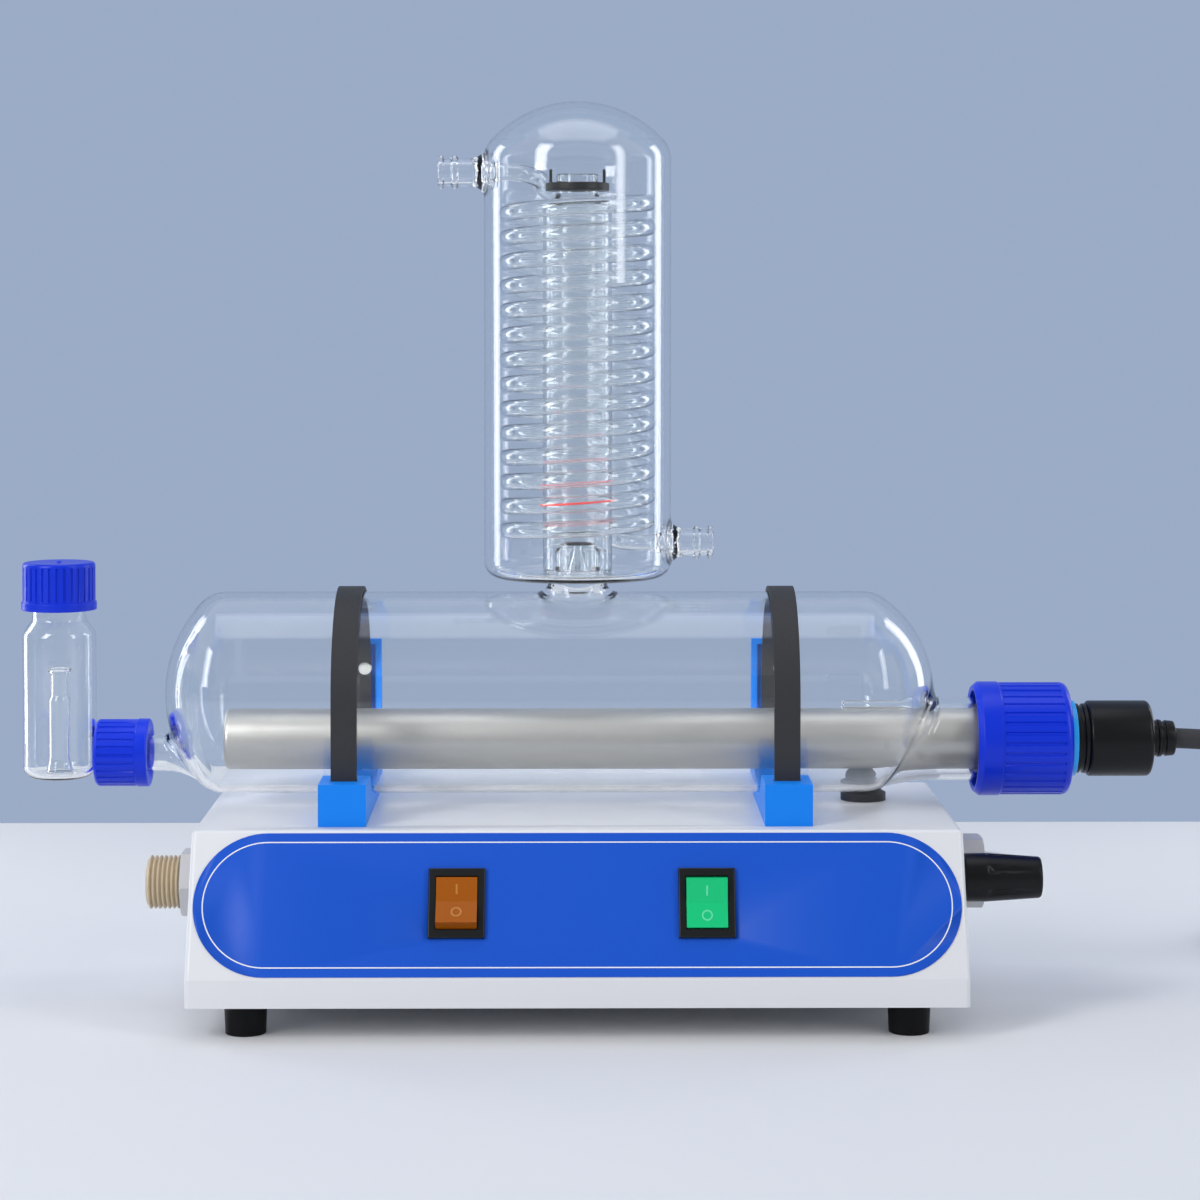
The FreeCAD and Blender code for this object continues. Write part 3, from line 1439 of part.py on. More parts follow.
def centring_ring():
    """A black ring round the vapour tube's neck, with two upright pins."""
    centre = Vec(mid_x, axis_y, vapour_neck_z + seam)
    edge = ring_height / 5
    body = turned([
        (vapour_neck_radius + seam, 0), (ring_outer - edge, 0), (ring_outer, edge),
        (ring_outer, ring_height - edge),
        (ring_outer - edge, ring_height), (vapour_neck_radius + seam, ring_height)], centre, Z_DIR)
    pins = [rod(ring_pin_radius, centre + Vec(side * ring_pin_x, 0, ring_height / 2), Z_DIR,
                ring_height / 2 + ring_pin_height) for side in (-1, 1)]
    return union(body, *pins)


def level_ring():
    """A thin red ring that sits tilted round the vapour tube."""
    centre = Vec(mid_x, axis_y, level_ring_z)
    inner = vapour_radius / math.cos(math.radians(level_ring_tilt)) + seam
    ring = pipe(inner + level_ring_thick, inner, centre - Z_DIR * (level_ring_height / 2), Z_DIR,
                level_ring_height)
    ring.rotate(centre, Y_DIR, -level_ring_tilt)
    return ring


def rounded(points):
    """Straight runs joined by tangent arcs, each as large as its runs allow."""
    edges = []
    radii = []
    here = points[0]
    for a, b, c in zip(points[:-2], points[1:-1], points[2:]):
        back = (a - b).normalize()
        ahead = (c - b).normalize()
        turn = math.pi - back.getAngle(ahead)
        shorter = min((a - b).Length, (c - b).Length)
        tangent = shorter * arc_share
        radius = tangent / math.tan(turn / 2)
        start = b + back * tangent
        end = b + ahead * tangent
        centre_way = (back + ahead).normalize()
        top = b + centre_way * (radius / math.cos(turn / 2) - radius)
        edges.append(Part.makeLine(here, start))
        edges.append(Part.Arc(start, top, end).toShape())
        radii.append(radius)
        here = end
    edges.append(Part.makeLine(here, points[-1]))
    return Part.Wire(edges), radii


def heater_lead():
    """The grey lead as a plain round tube along its route."""
    path, radii = rounded(lead_points_placed())
    tube = Part.BRepOffsetAPI.MakePipeShell(path)
    tube.add(Part.Wire(Part.makeCircle(lead_radius, lead_points_placed()[0], X_DIR)))
    tube.build()
    tube.makeSolid()
    solid = tube.shape()
    print("lead length", round(path.Length), "radii", [round(r) for r in radii])
    print("lead volume share", round(solid.Volume / (math.pi * lead_radius ** 2 * path.Length), 4))
    return solid


def lead_plug():
    """The heater lead's plug, lying on the bench: boot, grip and a shroud round three pins."""
    start = lead_points_placed()[-1] + X_DIR * slip
    w = socket_width / 2 - socket_wall - slip
    h = socket_height / 2 - socket_wall - slip
    boot = turned([(0, 0), (lead_radius + plug_round / 2, 0), (plug_boot_radius, plug_boot_length),
                   (0, plug_boot_length)], start, X_DIR)
    x0 = start.x + plug_boot_length
    x1 = x0 + plug_grip_length
    grip = block(x0, x1, start.y - socket_width / 2, start.y + socket_width / 2,
                 start.z - socket_height / 2 + slip, start.z + socket_height / 2)
    grip = grip.makeFillet(plug_round, [e for e in grip.Edges if e.BoundBox.XLength > plug_round])
    shroud = block(x1, x1 + socket_well, start.y - w, start.y + w, start.z - h, start.z + h)
    shroud = shroud.cut(block(x1, x1 + socket_well + cut_over,
                              start.y - w + shroud_wall, start.y + w - shroud_wall,
                              start.z - h + shroud_wall, start.z + h - shroud_wall))
    pins = [block(x1 - plug_round, x1 + socket_pin_length - 2 * slip, start.y + dx - socket_pin_x / 2,
                  start.y + dx + socket_pin_x / 2,
                  start.z + dz - socket_pin_z / 2, start.z + dz + socket_pin_z / 2)
            for dx, dz in pin_places()]
    return union(boot, grip, shroud, *pins)


def lead_points_placed():
    """The lead's points in the row frame; they are given from the end of the strain relief."""
    start = Vec(mid_x + terminal_x() + terminal_length + relief_length, axis_y, heater_z())
    return [Vec(start.x + x, start.y + y, z) for x, y, z in lead_points]


save("rubber_feet", *[foot(x, y) for x, y in foot_places()])
save("foot_screws", *[foot_screw(x, y) for x, y in foot_places()])
save("base_housing", base_housing())
save("base_plate", base_plate())
save("front_panel_label", panel_label())
save("heater_switch_bezel", switch_bezel(heater_switch_x))
save("mains_switch_bezel", switch_bezel(mains_switch_x))
save("heater_switch_rocker", switch_rocker(heater_switch_x, True))
save("mains_switch_rocker", switch_rocker(mains_switch_x, False))
save("water_inlet_nipple", water_nipple())
save("inlet_lock_nut", inlet_lock_nut())
save("solenoid_valve", solenoid_valve())
save("transfer_tube", transfer_tube())
save("flow_valve_body", flow_valve_body())
save("flow_valve_nut", valve_nut())
save("flow_valve_spindle", valve_spindle())
save("flow_valve_knob", valve_knob())
save("outlet_nut", outlet_nut())
save("outlet_hose_tail", outlet_hose_tail())
save("thermostat_boot", thermostat_boot())
save("thermostat_disc", thermostat_disc())
save("mains_inlet", mains_inlet(inlet_socket_x))
save("heater_outlet", heater_outlet(outlet_socket_x))
for side, x in (("left", saddle_left_x), ("right", saddle_right_x)):
    save(side + "_saddle", saddle(x))
    save(side + "_strap", strap(x))
    save(side + "_strap_peg", strap_peg(x))
save("saddle_screws", *[saddle_screw(mid_x + x, axis_y + y) for x in (saddle_left_x, saddle_right_x)
                        for y in saddle_screw_ys])
save("control_board", control_board())
save("board_standoffs", *board_standoffs())
save("terminal_block", terminal_block())
save("boiler_vessel", boiler_vessel())
save("heater_cap", heater_cap())
save("heater_seal", heater_seal())
save("heater_washer", heater_washer())
save("heater_sheath", heater_sheath())
save("heater_ring", heater_ring())
save("heater_flange", heater_flange())
save("terminal_cap", terminal_cap())
save("strain_relief", strain_relief())
save("level_vial", level_vial())
save("vial_standpipe", vial_standpipe())
save("vial_cap", vial_cap())
save("vial_cap_liner", vial_cap_liner())
save("leveller_cap", leveller_cap())
save("leveller_washer", leveller_washer())
save("leveller_seal", leveller_seal())
save("heater_core", heater_core())
save("condenser_jacket", condenser_jacket())
save("condenser_coil", condenser_coil())
save("vapour_tube", vapour_tube())
save("vapour_riser", vapour_riser())
save("splash_cap", splash_cap())
save("centring_ring", centring_ring())
save("level_ring", level_ring())
save("heater_lead", heater_lead())
save("lead_plug", lead_plug())
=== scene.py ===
import math

import bpy
import bmesh
import numpy as np
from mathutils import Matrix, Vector


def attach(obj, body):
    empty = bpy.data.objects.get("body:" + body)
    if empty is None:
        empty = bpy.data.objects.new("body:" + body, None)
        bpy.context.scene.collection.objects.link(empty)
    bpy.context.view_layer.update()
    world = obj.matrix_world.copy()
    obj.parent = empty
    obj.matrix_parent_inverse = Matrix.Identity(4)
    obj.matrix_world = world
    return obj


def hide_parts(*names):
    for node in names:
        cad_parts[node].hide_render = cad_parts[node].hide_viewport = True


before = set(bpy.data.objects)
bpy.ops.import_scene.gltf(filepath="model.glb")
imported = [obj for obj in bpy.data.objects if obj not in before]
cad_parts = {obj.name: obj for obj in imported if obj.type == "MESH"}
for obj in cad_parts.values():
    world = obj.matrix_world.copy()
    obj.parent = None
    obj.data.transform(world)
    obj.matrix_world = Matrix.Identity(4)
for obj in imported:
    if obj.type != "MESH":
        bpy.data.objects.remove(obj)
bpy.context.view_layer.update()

mm = 0.001  # every size below is in millimetres until it goes into a mesh

# Places that several pieces share, in the row frame
place = dict(midX=-10.25, axisY=13.75, boilerZ=144.1, frontY=-86.25, heaterZ=121.5, levelZ=115.1,
             vialX=-257.65)
slope = dict(run=29.0, rise=62.2, midZ=58.6)  # the front panel's lean
slopeLean = math.atan2(slope["run"], slope["rise"])
slopeMid = (place["midX"], place["frontY"] + slope["run"] / 2, slope["midZ"])
xWay, yWay, zWay = np.eye(3)


def unit(v):
    return v / np.linalg.norm(v)


# Evenly spaced bearings round a full turn.
def bearings(count, start=0.0):
    return start + np.linspace(0, 2 * np.pi, count, endpoint=False)


# Points of the unit circle at the given bearings.
def circle(angles):
    return np.stack([np.cos(angles), np.sin(angles)], axis=-1)


# Corners (across, along, rounding) become a line whose corners are arcs tangent to both sides.
def softLine(corners, steps=7, closed=False):
    pts = [np.array(c[:2], float) for c in corners]
    out = []
    for i, corner in enumerate(corners):
        r = corner[2] if len(corner) > 2 else 0.0
        if r <= 0 or (not closed and i in (0, len(corners) - 1)):
            out.append(pts[i][None, :])
            continue
        back, ahead = pts[i - 1] - pts[i], pts[(i + 1) % len(pts)] - pts[i]
        back, ahead = unit(back), unit(ahead)
        half = math.acos(max(-1.0, min(1.0, float(back @ ahead)))) / 2
        middle = unit(back + ahead) * (r / math.sin(half))
        turn = np.linspace(-1, 1, steps) * (math.pi / 2 - half)
        inward = -unit(middle)
        side = unit(ahead - back)
        out.append(pts[i] + middle + r * (np.cos(turn)[:, None] * inward + np.sin(turn)[:, None] * side))
    return np.vstack(out)


# Point (u, v) = centre + axis * along(u) + radius(u) * (side cos v + other sin v).
def turnedGrid(line, centre, axis, around=96, wobble=None):
    side = yWay if axis is xWay else xWay
    other = np.cross(axis, side)
    v = bearings(around)
    radius = line[:, 0][:, None] * np.ones(around)
    if wobble is not None:
        radius = radius + wobble(line, v)
    ring = side[None, :] * np.cos(v)[:, None] + other[None, :] * np.sin(v)[:, None]
    return np.array(centre) + axis * line[:, 1][:, None, None] + radius[:, :, None] * ring[None, :, :]


# Point (u, v) = path(u) + radius(u) * (side(u) cos v + up(u) sin v), with side level and square to the path.
def sweptGrid(path, radius, around=24, upright=zWay):
    ahead = np.gradient(path, axis=0)
    ahead /= np.linalg.norm(ahead, axis=1)[:, None]
    side = np.cross(upright, ahead)
    side /= np.linalg.norm(side, axis=1)[:, None]
    up = np.cross(ahead, side)
    v = bearings(around)
    r = np.broadcast_to(np.asarray(radius, float), (len(path),))[:, None, None]
    spoke = side[:, None, :] * np.cos(v)[None, :, None] + up[:, None, :] * np.sin(v)[None, :, None]
    return path[:, None, :] + r * spoke


# The quads between a grid's points; v always wraps, u with wrapU, and windows (u0, u1, v0, v1) stay open.
def gridQuads(rows, cols, wrapU=False, windows=()):
    u, v = np.meshgrid(np.arange(rows if wrapU else rows - 1), np.arange(cols), indexing="ij")
    keep = np.ones(u.shape, bool)
    for u0, u1, v0, v1 in windows:
        keep &= ~((u >= u0) & (u < u1) & (v >= v0) & (v < v1))
    u, v = u[keep], v[keep]
    u2, v2 = (u + 1) % rows, (v + 1) % cols
    return np.stack([u * cols + v, u * cols + v2, u2 * cols + v2, u2 * cols + v], axis=-1)


def meshFrom(name, grid, material, wrapU=True, sharp=32.0):
    return meshOf(name, grid.reshape(-1, 3), gridQuads(*grid.shape[:2], wrapU), material, sharp)


def addObject(name, data):
    piece = bpy.data.objects.new(name, data)
    bpy.context.scene.collection.objects.link(piece)
    return piece


# Points in millimetres and quads into a mesh; doubles merge, and the faces are turned to point outwards.
def meshOf(name, points, quads, material, sharp=32.0, rewind=False):
    corners = np.asarray(points, float)[quads]
    span = np.cross(corners[:, 2] - corners[:, 0], corners[:, 3] - corners[:, 1])
    quads = quads[np.linalg.norm(span, axis=1) > 1e-7]  # leaves out the flat quads between two poles
    mesh = bpy.data.meshes.new(name)
    mesh.vertices.add(len(points))
    mesh.vertices.foreach_set("co", (np.asarray(points, float) * mm).ravel())
    mesh.loops.add(quads.size)
    mesh.loops.foreach_set("vertex_index", quads.ravel().astype(np.int32))
    mesh.polygons.add(len(quads))
    mesh.polygons.foreach_set("loop_start", np.arange(0, quads.size, quads.shape[1], dtype=np.int32))
    mesh.update()
    mesh.validate()
    work = bmesh.new()
    work.from_mesh(mesh)
    bmesh.ops.remove_doubles(work, verts=work.verts, dist=2e-7)
    bmesh.ops.dissolve_degenerate(work, edges=work.edges, dist=1e-8)
    if rewind:
        bmesh.ops.recalc_face_normals(work, faces=work.faces)
    if work.calc_volume(signed=True) < 0:
        bmesh.ops.reverse_faces(work, faces=work.faces)
    work.to_mesh(mesh)
    work.free()
    mesh.polygons.foreach_set("use_smooth", np.ones(len(mesh.polygons), bool))
    mesh.set_sharp_from_angle(angle=math.radians(sharp))
    mesh.materials.append(material)
    return addObject(name, mesh)


# Two nested grids, outside and inside, become one wall that is closed at both ends.
def walled(outside, inside):
    return np.concatenate([outside, inside[::-1]], axis=0)


def put(piece, body, nodes=(), slot=None):
    piece.visible_shadow = slot != "clear_glass"  # lamps light what stands inside the glass
    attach(piece, body)
    if nodes:
        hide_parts(*nodes)
    return piece


def putGlass(piece, *nodes):
    return put(piece, "base", nodes, "clear_glass")


def onSlope(points):
    lean = math.pi / 2 - slopeLean
    x, y, z = points[..., 0], points[..., 1], points[..., 2]
    return np.stack([x + slopeMid[0], y * math.cos(lean) - z * math.sin(lean) + slopeMid[1],
                     y * math.sin(lean) + z * math.cos(lean) + slopeMid[2]], axis=-1)


def principled(name, colour, roughness, **sockets):
    material = bpy.data.materials.new(name)
    material.use_nodes = True
    shader = material.node_tree.nodes["Principled BSDF"]
    shader.inputs["Base Color"].default_value = (*colour, 1.0)
    shader.inputs["Roughness"].default_value = roughness
    for socket, value in sockets.items():
        shader.inputs[socket.replace("_", " ")].default_value = value
    return material


def addNode(material, kind, **values):
    node = material.node_tree.nodes.new(kind)
    for key, value in values.items():
        setattr(node, key, value)
    return node


def link(material, source, target):
    material.node_tree.links.new(source, target)


# Fine unevenness of moulded and painted surfaces, shared by several finishes.
def buildGrainGroup():
    group = bpy.data.node_groups.new("fineGrain", "ShaderNodeTree")
    for socket, kind in (("Scale", "Float"), ("Stretch", "Vector"), ("Low", "Float"), ("High", "Float")):
        group.interface.new_socket(socket, in_out="INPUT", socket_type="NodeSocket" + kind)
    group.interface.new_socket("Value", in_out="OUTPUT", socket_type="NodeSocketFloat")
    entry = group.nodes.new("NodeGroupInput")
    exitNode = group.nodes.new("NodeGroupOutput")
    coords = group.nodes.new("ShaderNodeTexCoord")
    stretch = group.nodes.new("ShaderNodeVectorMath")
    stretch.operation = "MULTIPLY"
    noise = group.nodes.new("ShaderNodeTexNoise")
    noise.inputs["Detail"].default_value = 3.0
    spread = group.nodes.new("ShaderNodeMapRange")
    join = group.links.new
    join(coords.outputs["Object"], stretch.inputs[0])
    join(entry.outputs["Stretch"], stretch.inputs[1])
    join(stretch.outputs["Vector"], noise.inputs["Vector"])
    join(entry.outputs["Scale"], noise.inputs["Scale"])
    join(noise.outputs["Fac"], spread.inputs["Value"])
    join(entry.outputs["Low"], spread.inputs["To Min"])
    join(entry.outputs["High"], spread.inputs["To Max"])
    join(spread.outputs["Result"], exitNode.inputs["Value"])
    return group


fineGrain = buildGrainGroup()


# A finish with the grain on Roughness, and as a Bump height on Normal when a depth is given in metres.
def grained(name, colour, roughness, scale, low, high, stretch=(1, 1, 1), bump=0.0, **sockets):
    material = principled(name, colour, roughness, **sockets)
    grain = addNode(material, "ShaderNodeGroup", node_tree=fineGrain)
    for socket, value in (("Scale", scale), ("Stretch", stretch), ("Low", low), ("High", high)):
        grain.inputs[socket].default_value = value
    shader = material.node_tree.nodes["Principled BSDF"]
    link(material, grain.outputs["Value"], shader.inputs["Roughness"])
    if bump:
        relief = addNode(material, "ShaderNodeBump")
        relief.inputs["Distance"].default_value = bump
        relief.inputs["Strength"].default_value = 0.6
        link(material, grain.outputs["Value"], relief.inputs["Height"])
        link(material, relief.outputs["Normal"], shader.inputs["Normal"])
    return material


clearGlass = principled("clearGlass", (0.985, 0.995, 0.995), 0.0, Transmission_Weight=1.0, IOR=1.47)
housingPaint = grained("housingPaint", (0.75, 0.757, 0.785), 0.38, 900.0, 0.33, 0.43, bump=0.00004,
                       Coat_Weight=0.3, Coat_Roughness=0.1)
capBlue = grained("capBlue", (0.0, 0.028, 0.63), 0.3, 300.0, 0.26, 0.36, Specular_IOR_Level=0.3)
saddleBlue = grained("saddleBlue", (0.0, 0.23, 0.88), 0.4, 300.0, 0.34, 0.46, Specular_IOR_Level=0.3)
strapRubber = grained("strapRubber", (0.022, 0.022, 0.025), 0.6, 700.0, 0.5, 0.72, bump=0.00006)
footRubber = grained("footRubber", (0.003, 0.003, 0.004), 0.5, 500.0, 0.4, 0.6, Specular_IOR_Level=0.15)
blackPlastic = grained("blackPlastic", (0.004, 0.004, 0.005), 0.35, 500.0, 0.28, 0.42,
                       Specular_IOR_Level=0.25)
bezelPlastic = principled("bezelPlastic", (0.006, 0.007, 0.008), 0.3, Specular_IOR_Level=0.35)
whitePlastic = principled("whitePlastic", (0.74, 0.74, 0.72), 0.35)
amberPlastic = principled("amberPlastic", (0.36, 0.09, 0.002), 0.35, Specular_IOR_Level=0.2)
greenPlastic = principled("greenPlastic", (0.006, 0.58, 0.20), 0.3, Specular_IOR_Level=0.3)
tanPlastic = grained("tanPlastic", (0.58, 0.47, 0.32), 0.4, 400.0, 0.33, 0.5)
hexGrey = grained("hexGrey", (0.55, 0.545, 0.56), 0.4, 400.0, 0.33, 0.5)
heaterSteel = grained("heaterSteel", (0.50, 0.49, 0.47), 0.4, 60.0, 0.38, 0.44,
                      stretch=(0.06, 8.0, 8.0), Metallic=1.0)
plainSteel = principled("plainSteel", (0.6, 0.6, 0.6), 0.3, Metallic=1.0)
cyanPlastic = principled("cyanPlastic", (0.02, 0.45, 0.95), 0.25)
redSilicone = principled("redSilicone", (0.85, 0.025, 0.012), 0.4)
sealSilicone = principled("sealSilicone", (0.7, 0.72, 0.72), 0.45)
bobbinCeramic = principled("bobbinCeramic", (0.72, 0.69, 0.63), 0.6)
leadRubber = grained("leadRubber", (0.034, 0.033, 0.037), 0.5, 500.0, 0.45, 0.6, Specular_IOR_Level=0.35)
boardGreen = principled("boardGreen", (0.03, 0.2, 0.06), 0.4)
turnedBrass = principled("turnedBrass", (0.78, 0.58, 0.28), 0.3, Metallic=1.0)
print("materials made")


# One wall of a vessel as two hosts (outside, inside) of the same rows and columns, with windows cut out of
# both. Each branch fills its windows from the outer one, to its tip, back through its bore, to the inner one.
class GlassShell:
    def __init__(self, name):
        self.name = name
        self.points = []
        self.quads = []
        self.count = 0

    def addGrid(self, grid, windows=()):
        rows, cols = grid.shape[:2]
        self.quads.append(gridQuads(rows, cols, windows=windows) + self.count)
        self.points.append(grid.reshape(-1, 3))
        self.count += rows * cols

    # The border of a window as one loop of points, in turn round the window.
    @staticmethod
    def border(grid, u0, u1, v0, v1):
        return np.concatenate([grid[u0, v0:v1], grid[u0:u1, v1], grid[u1, v1:v0:-1], grid[u1:u0:-1, v0]])

    def build(self, material, sharp=40.0):
        points, quads = np.concatenate(self.points), np.concatenate(self.quads)
        return meshOf(self.name, points, quads, material, sharp, rewind=True)


# A branch of a vessel, in the frame (across, beside, along): from a window's border, in s steps to a ring of
# radius root, then a quarter turn of flare to radius r at height top; height(p) is the vessel's own surface.
def branchRoot(border, height, root, r, top, spread=4, turns=7):
    bearing = np.arctan2(border[:, 1], border[:, 0])
    ring = circle(bearing)
    rows = []
    for s in np.linspace(0, 1, spread + 1):
        flat = border[:, :2] * (1 - s) + ring * root * s
        rows.append(np.column_stack([flat, height(flat)]))
    for t in np.linspace(0, math.pi / 2, turns + 1)[1:]:
        flat = ring * (root - (root - r) * math.sin(t))
        rows.append(np.column_stack([flat, height(flat) * math.cos(t) + top * (1 - math.cos(t))]))
    rows[0][:, 2] = border[:, 2]
    return rows, ring


# Rings (radius, along) on the bearings of a branch.
def branchRings(line, ring):
    return [np.column_stack([ring * r, np.full(len(ring), along)]) for r, along in line]


condenserAt = (place["midX"], place["axisY"], 0.0)


# The jacket: floor, rounded corner, wall, dome; its rows are denser where an arm leaves it.
jacketShape = dict(radius=44.6, wall=3.0, floor=199.0, floorEdge=20.0, corner=8.0,
                   levels=(207, 229, 378, 398), shoulder=398.0, dome=27.6, knuckle=14.0, hole=4.8,
                   lowArm=215.6, topArm=392.0, drain=209.0, topReach=66.3, lowReach=64.8, drainReach=62.0,
                   armRadius=6.7, armBore=4.7, bead=7.9, flare=11.5, flareIn=10.3, taperTip=34.0)


def jacketLine(inset):
    s = jacketShape
    r, k, knuckle = s["radius"] - inset, s["corner"] - inset, s["knuckle"] - inset
    low, height = s["floor"] + inset, s["dome"] - inset
    turn = np.radians(np.linspace(-90, 0, 19))
    corner = np.column_stack([r - k + k * np.cos(turn), low + k + k * np.sin(turn)])
    levels = np.concatenate([np.linspace(a, b, 9)[1:] for a, b in zip(s["levels"], s["levels"][1:])])
    side = np.column_stack([np.full(len(levels), r), levels])
    crown = ((r - knuckle) ** 2 + height ** 2 - knuckle ** 2) / (2 * (height - knuckle))
    lean = math.atan2(r - knuckle, crown - height)
    up = np.linspace(0, math.pi / 2 - lean, 15)[1:]
    bend = np.column_stack([r - knuckle + knuckle * np.cos(up), s["shoulder"] + knuckle * np.sin(up)])
    over = np.linspace(lean, 0, 22)[1:]
    roof = np.column_stack([crown * np.sin(over), s["shoulder"] + height - crown + crown * np.cos(over)])
    floor = [[s["hole"], low], [s["floorEdge"], low]]
    return np.vstack([floor, corner, side, bend, roof])


def hostRings(line, angles):
    ring = np.stack([np.cos(angles), np.sin(angles), np.zeros_like(angles)], axis=-1)
    return (np.array(condenserAt) + line[:, 0][:, None, None] * ring[None]
            + line[:, 1][:, None, None] * zWay)


# A hose arm's outline from its root to its beaded tip, back through the bore and along the taper inside.
def armLine(reach):
    s = jacketShape
    r, bead, bore = s["armRadius"], s["bead"], s["armBore"]
    return softLine([(r, 52.5), (r, reach - 9.7), (bead, reach - 8.9, 0.7), (bead, reach - 7.1, 0.7),
                     (r, reach - 6.3), (r, reach - 3.2), (bead, reach - 2.4, 0.7), (bead, reach - 0.7, 0.6),
                     (r - 0.2, reach, 0.4), (bore, reach, 0.7), (bore, 50.0, 3.0), (2.6, s["taperTip"]),
                     (4.0, s["taperTip"])], steps=5)


def buildJacket():
    s = jacketShape
    angles = bearings(144, -math.pi / 4)
    shell = GlassShell("jacketGlass")
    outline = [jacketLine(0.0), jacketLine(s["wall"])]
    hosts = [hostRings(line, angles) for line in outline]
    # row and column windows: rows from the corner's arc or the wall up, columns centred on the arm's bearing
    windows = [(14, 28, 11, 25), (36, 55, 83, 97), (9, 24, 49, 59)]
    for host in hosts:
        shell.addGrid(host, windows)
    shell.addGrid(np.stack([hosts[0][0], hosts[1][0]]))
    # each arm's bearing, height, reach, flares, and (radius, place) where its root ends outside and inside
    hoseEnds = ((s["armRadius"], 51.5), (4.0, 35.0))
    drainEnds = ((s["armRadius"], 47.0), (s["armBore"], 43.2))
    arms = [(0.0, s["lowArm"], s["lowReach"], (s["flare"], s["flareIn"]), hoseEnds),
            (math.pi, s["topArm"], s["topReach"], (s["flare"], s["flareIn"]), hoseEnds),
            (math.pi / 2, s["drain"], s["drainReach"], (8.0, 5.5), drainEnds)]
    for window, (bearing, level, reach, flares, ends) in zip(windows, arms):
        out = np.array([math.cos(bearing), math.sin(bearing), 0.0])
        across = np.cross(zWay, out)
        rows = []
        for host, line, root, (r, top) in zip(hosts, outline, flares, ends):
            edge = shell.border(host, *window) - np.array(condenserAt)
            local = np.column_stack([edge @ across, edge[:, 2] - level, edge @ out])
            # the vessel's own surface at (across, beside): its radius there, less the drop to the side
            rim = line[2:-18]  # without the floor and the middle of the dome
            surface = lambda flat, rim=rim: np.sqrt(
                np.interp(flat[:, 1] + level, rim[:, 1], rim[:, 0]) ** 2 - flat[:, 0] ** 2)
            branch, ring = branchRoot(local, surface, root, r, top)
            rows.append(branch)
        if ends is drainEnds:
            r, bore = s["armRadius"], s["armBore"]
            line = np.array([(r, reach - 0.6), (r - 0.6, reach), (bore + 0.6, reach), (bore, reach - 0.6)])
        else:
            line = armLine(reach)
        rings = branchRings(line, ring)
        local = np.stack(rows[0] + rings + rows[1][::-1])
        world = (np.array(condenserAt) + local[..., 0:1] * across + local[..., 2:3] * out
                 + (local[..., 1:2] + level) * zWay)
        shell.addGrid(world)
    return shell.build(clearGlass)


putGlass(buildJacket(), "condenser_jacket")

# The boiler: left neck, dome, cylinder, dome, heater neck, and back inside. The neck to the condenser
# is a branch.
boilerShape = dict(radius=47.9, wall=3.0, left=-168.0, right=137.0, leftDome=28.6, rightDome=33.0,
                   knuckle=16.0, flare=7.5, leftNeck=8.7, leftTip=-225.5, leftRoot=16.4, leftRootZ=116.2,
                   rightNeck=19.8, rightThread=22.2, rightTip=221.9, rightRoot=26.6, rightRootZ=124.2,
                   topNeck=14.0, topRoot=19.7, topZ=198.9)


# How far a dome stands out at each distance from the axis: crown arc in the middle, knuckle arc at the rim.
def domeHeight(rho, radius, height, knuckle):
    flat = radius - knuckle
    crown = (flat ** 2 + height ** 2 - knuckle ** 2) / (2 * (height - knuckle))
    lean = math.atan2(flat, crown - height)
    middle = np.sqrt(np.maximum(crown ** 2 - rho ** 2, 0)) - (crown - height)
    rim = np.sqrt(np.maximum(knuckle ** 2 - np.maximum(rho - flat, 0) ** 2, 0))
    return np.where(rho < crown * math.sin(lean), middle, rim)


# Rings (X, Z of centre, radius, dome share) from a neck's tip to the dome's rim, as rows of points.
def domeRows(angles, radius, height, knuckle, rim, way, neckZ, neck, rootZ, root, tipLine):
    ring = circle(angles)
    rows = [np.column_stack([np.full(len(angles), x), ring * r + [0, neckZ]]) for r, x in tipLine]
    atNeck = domeHeight(abs(place["boilerZ"] - neckZ), radius, height, knuckle)
    flareTop = rim + way * (atNeck + boilerShape["flare"])
    for t in np.linspace(math.pi / 2, 0, 10):
        s = 1 - math.sin(t)
        flat = ring * (neck + (root - neck) * s) + [0, neckZ + (rootZ - neckZ) * s]
        rho = np.hypot(flat[:, 0], flat[:, 1] - place["boilerZ"])
        own = rim + way * domeHeight(rho, radius, height, knuckle)
        rows.append(np.column_stack([own * math.cos(t) + flareTop * (1 - math.cos(t)) if t else own, flat]))
    for s in np.sin(np.linspace(0, math.pi / 2, 19))[1:]:
        flat = ring * (root + (radius - root) * s) + [0, rootZ + (place["boilerZ"] - rootZ) * s]
        rho = np.hypot(flat[:, 0], flat[:, 1] - place["boilerZ"])
        rows.append(np.column_stack([rim + way * domeHeight(rho, radius, height, knuckle), flat]))
    return rows


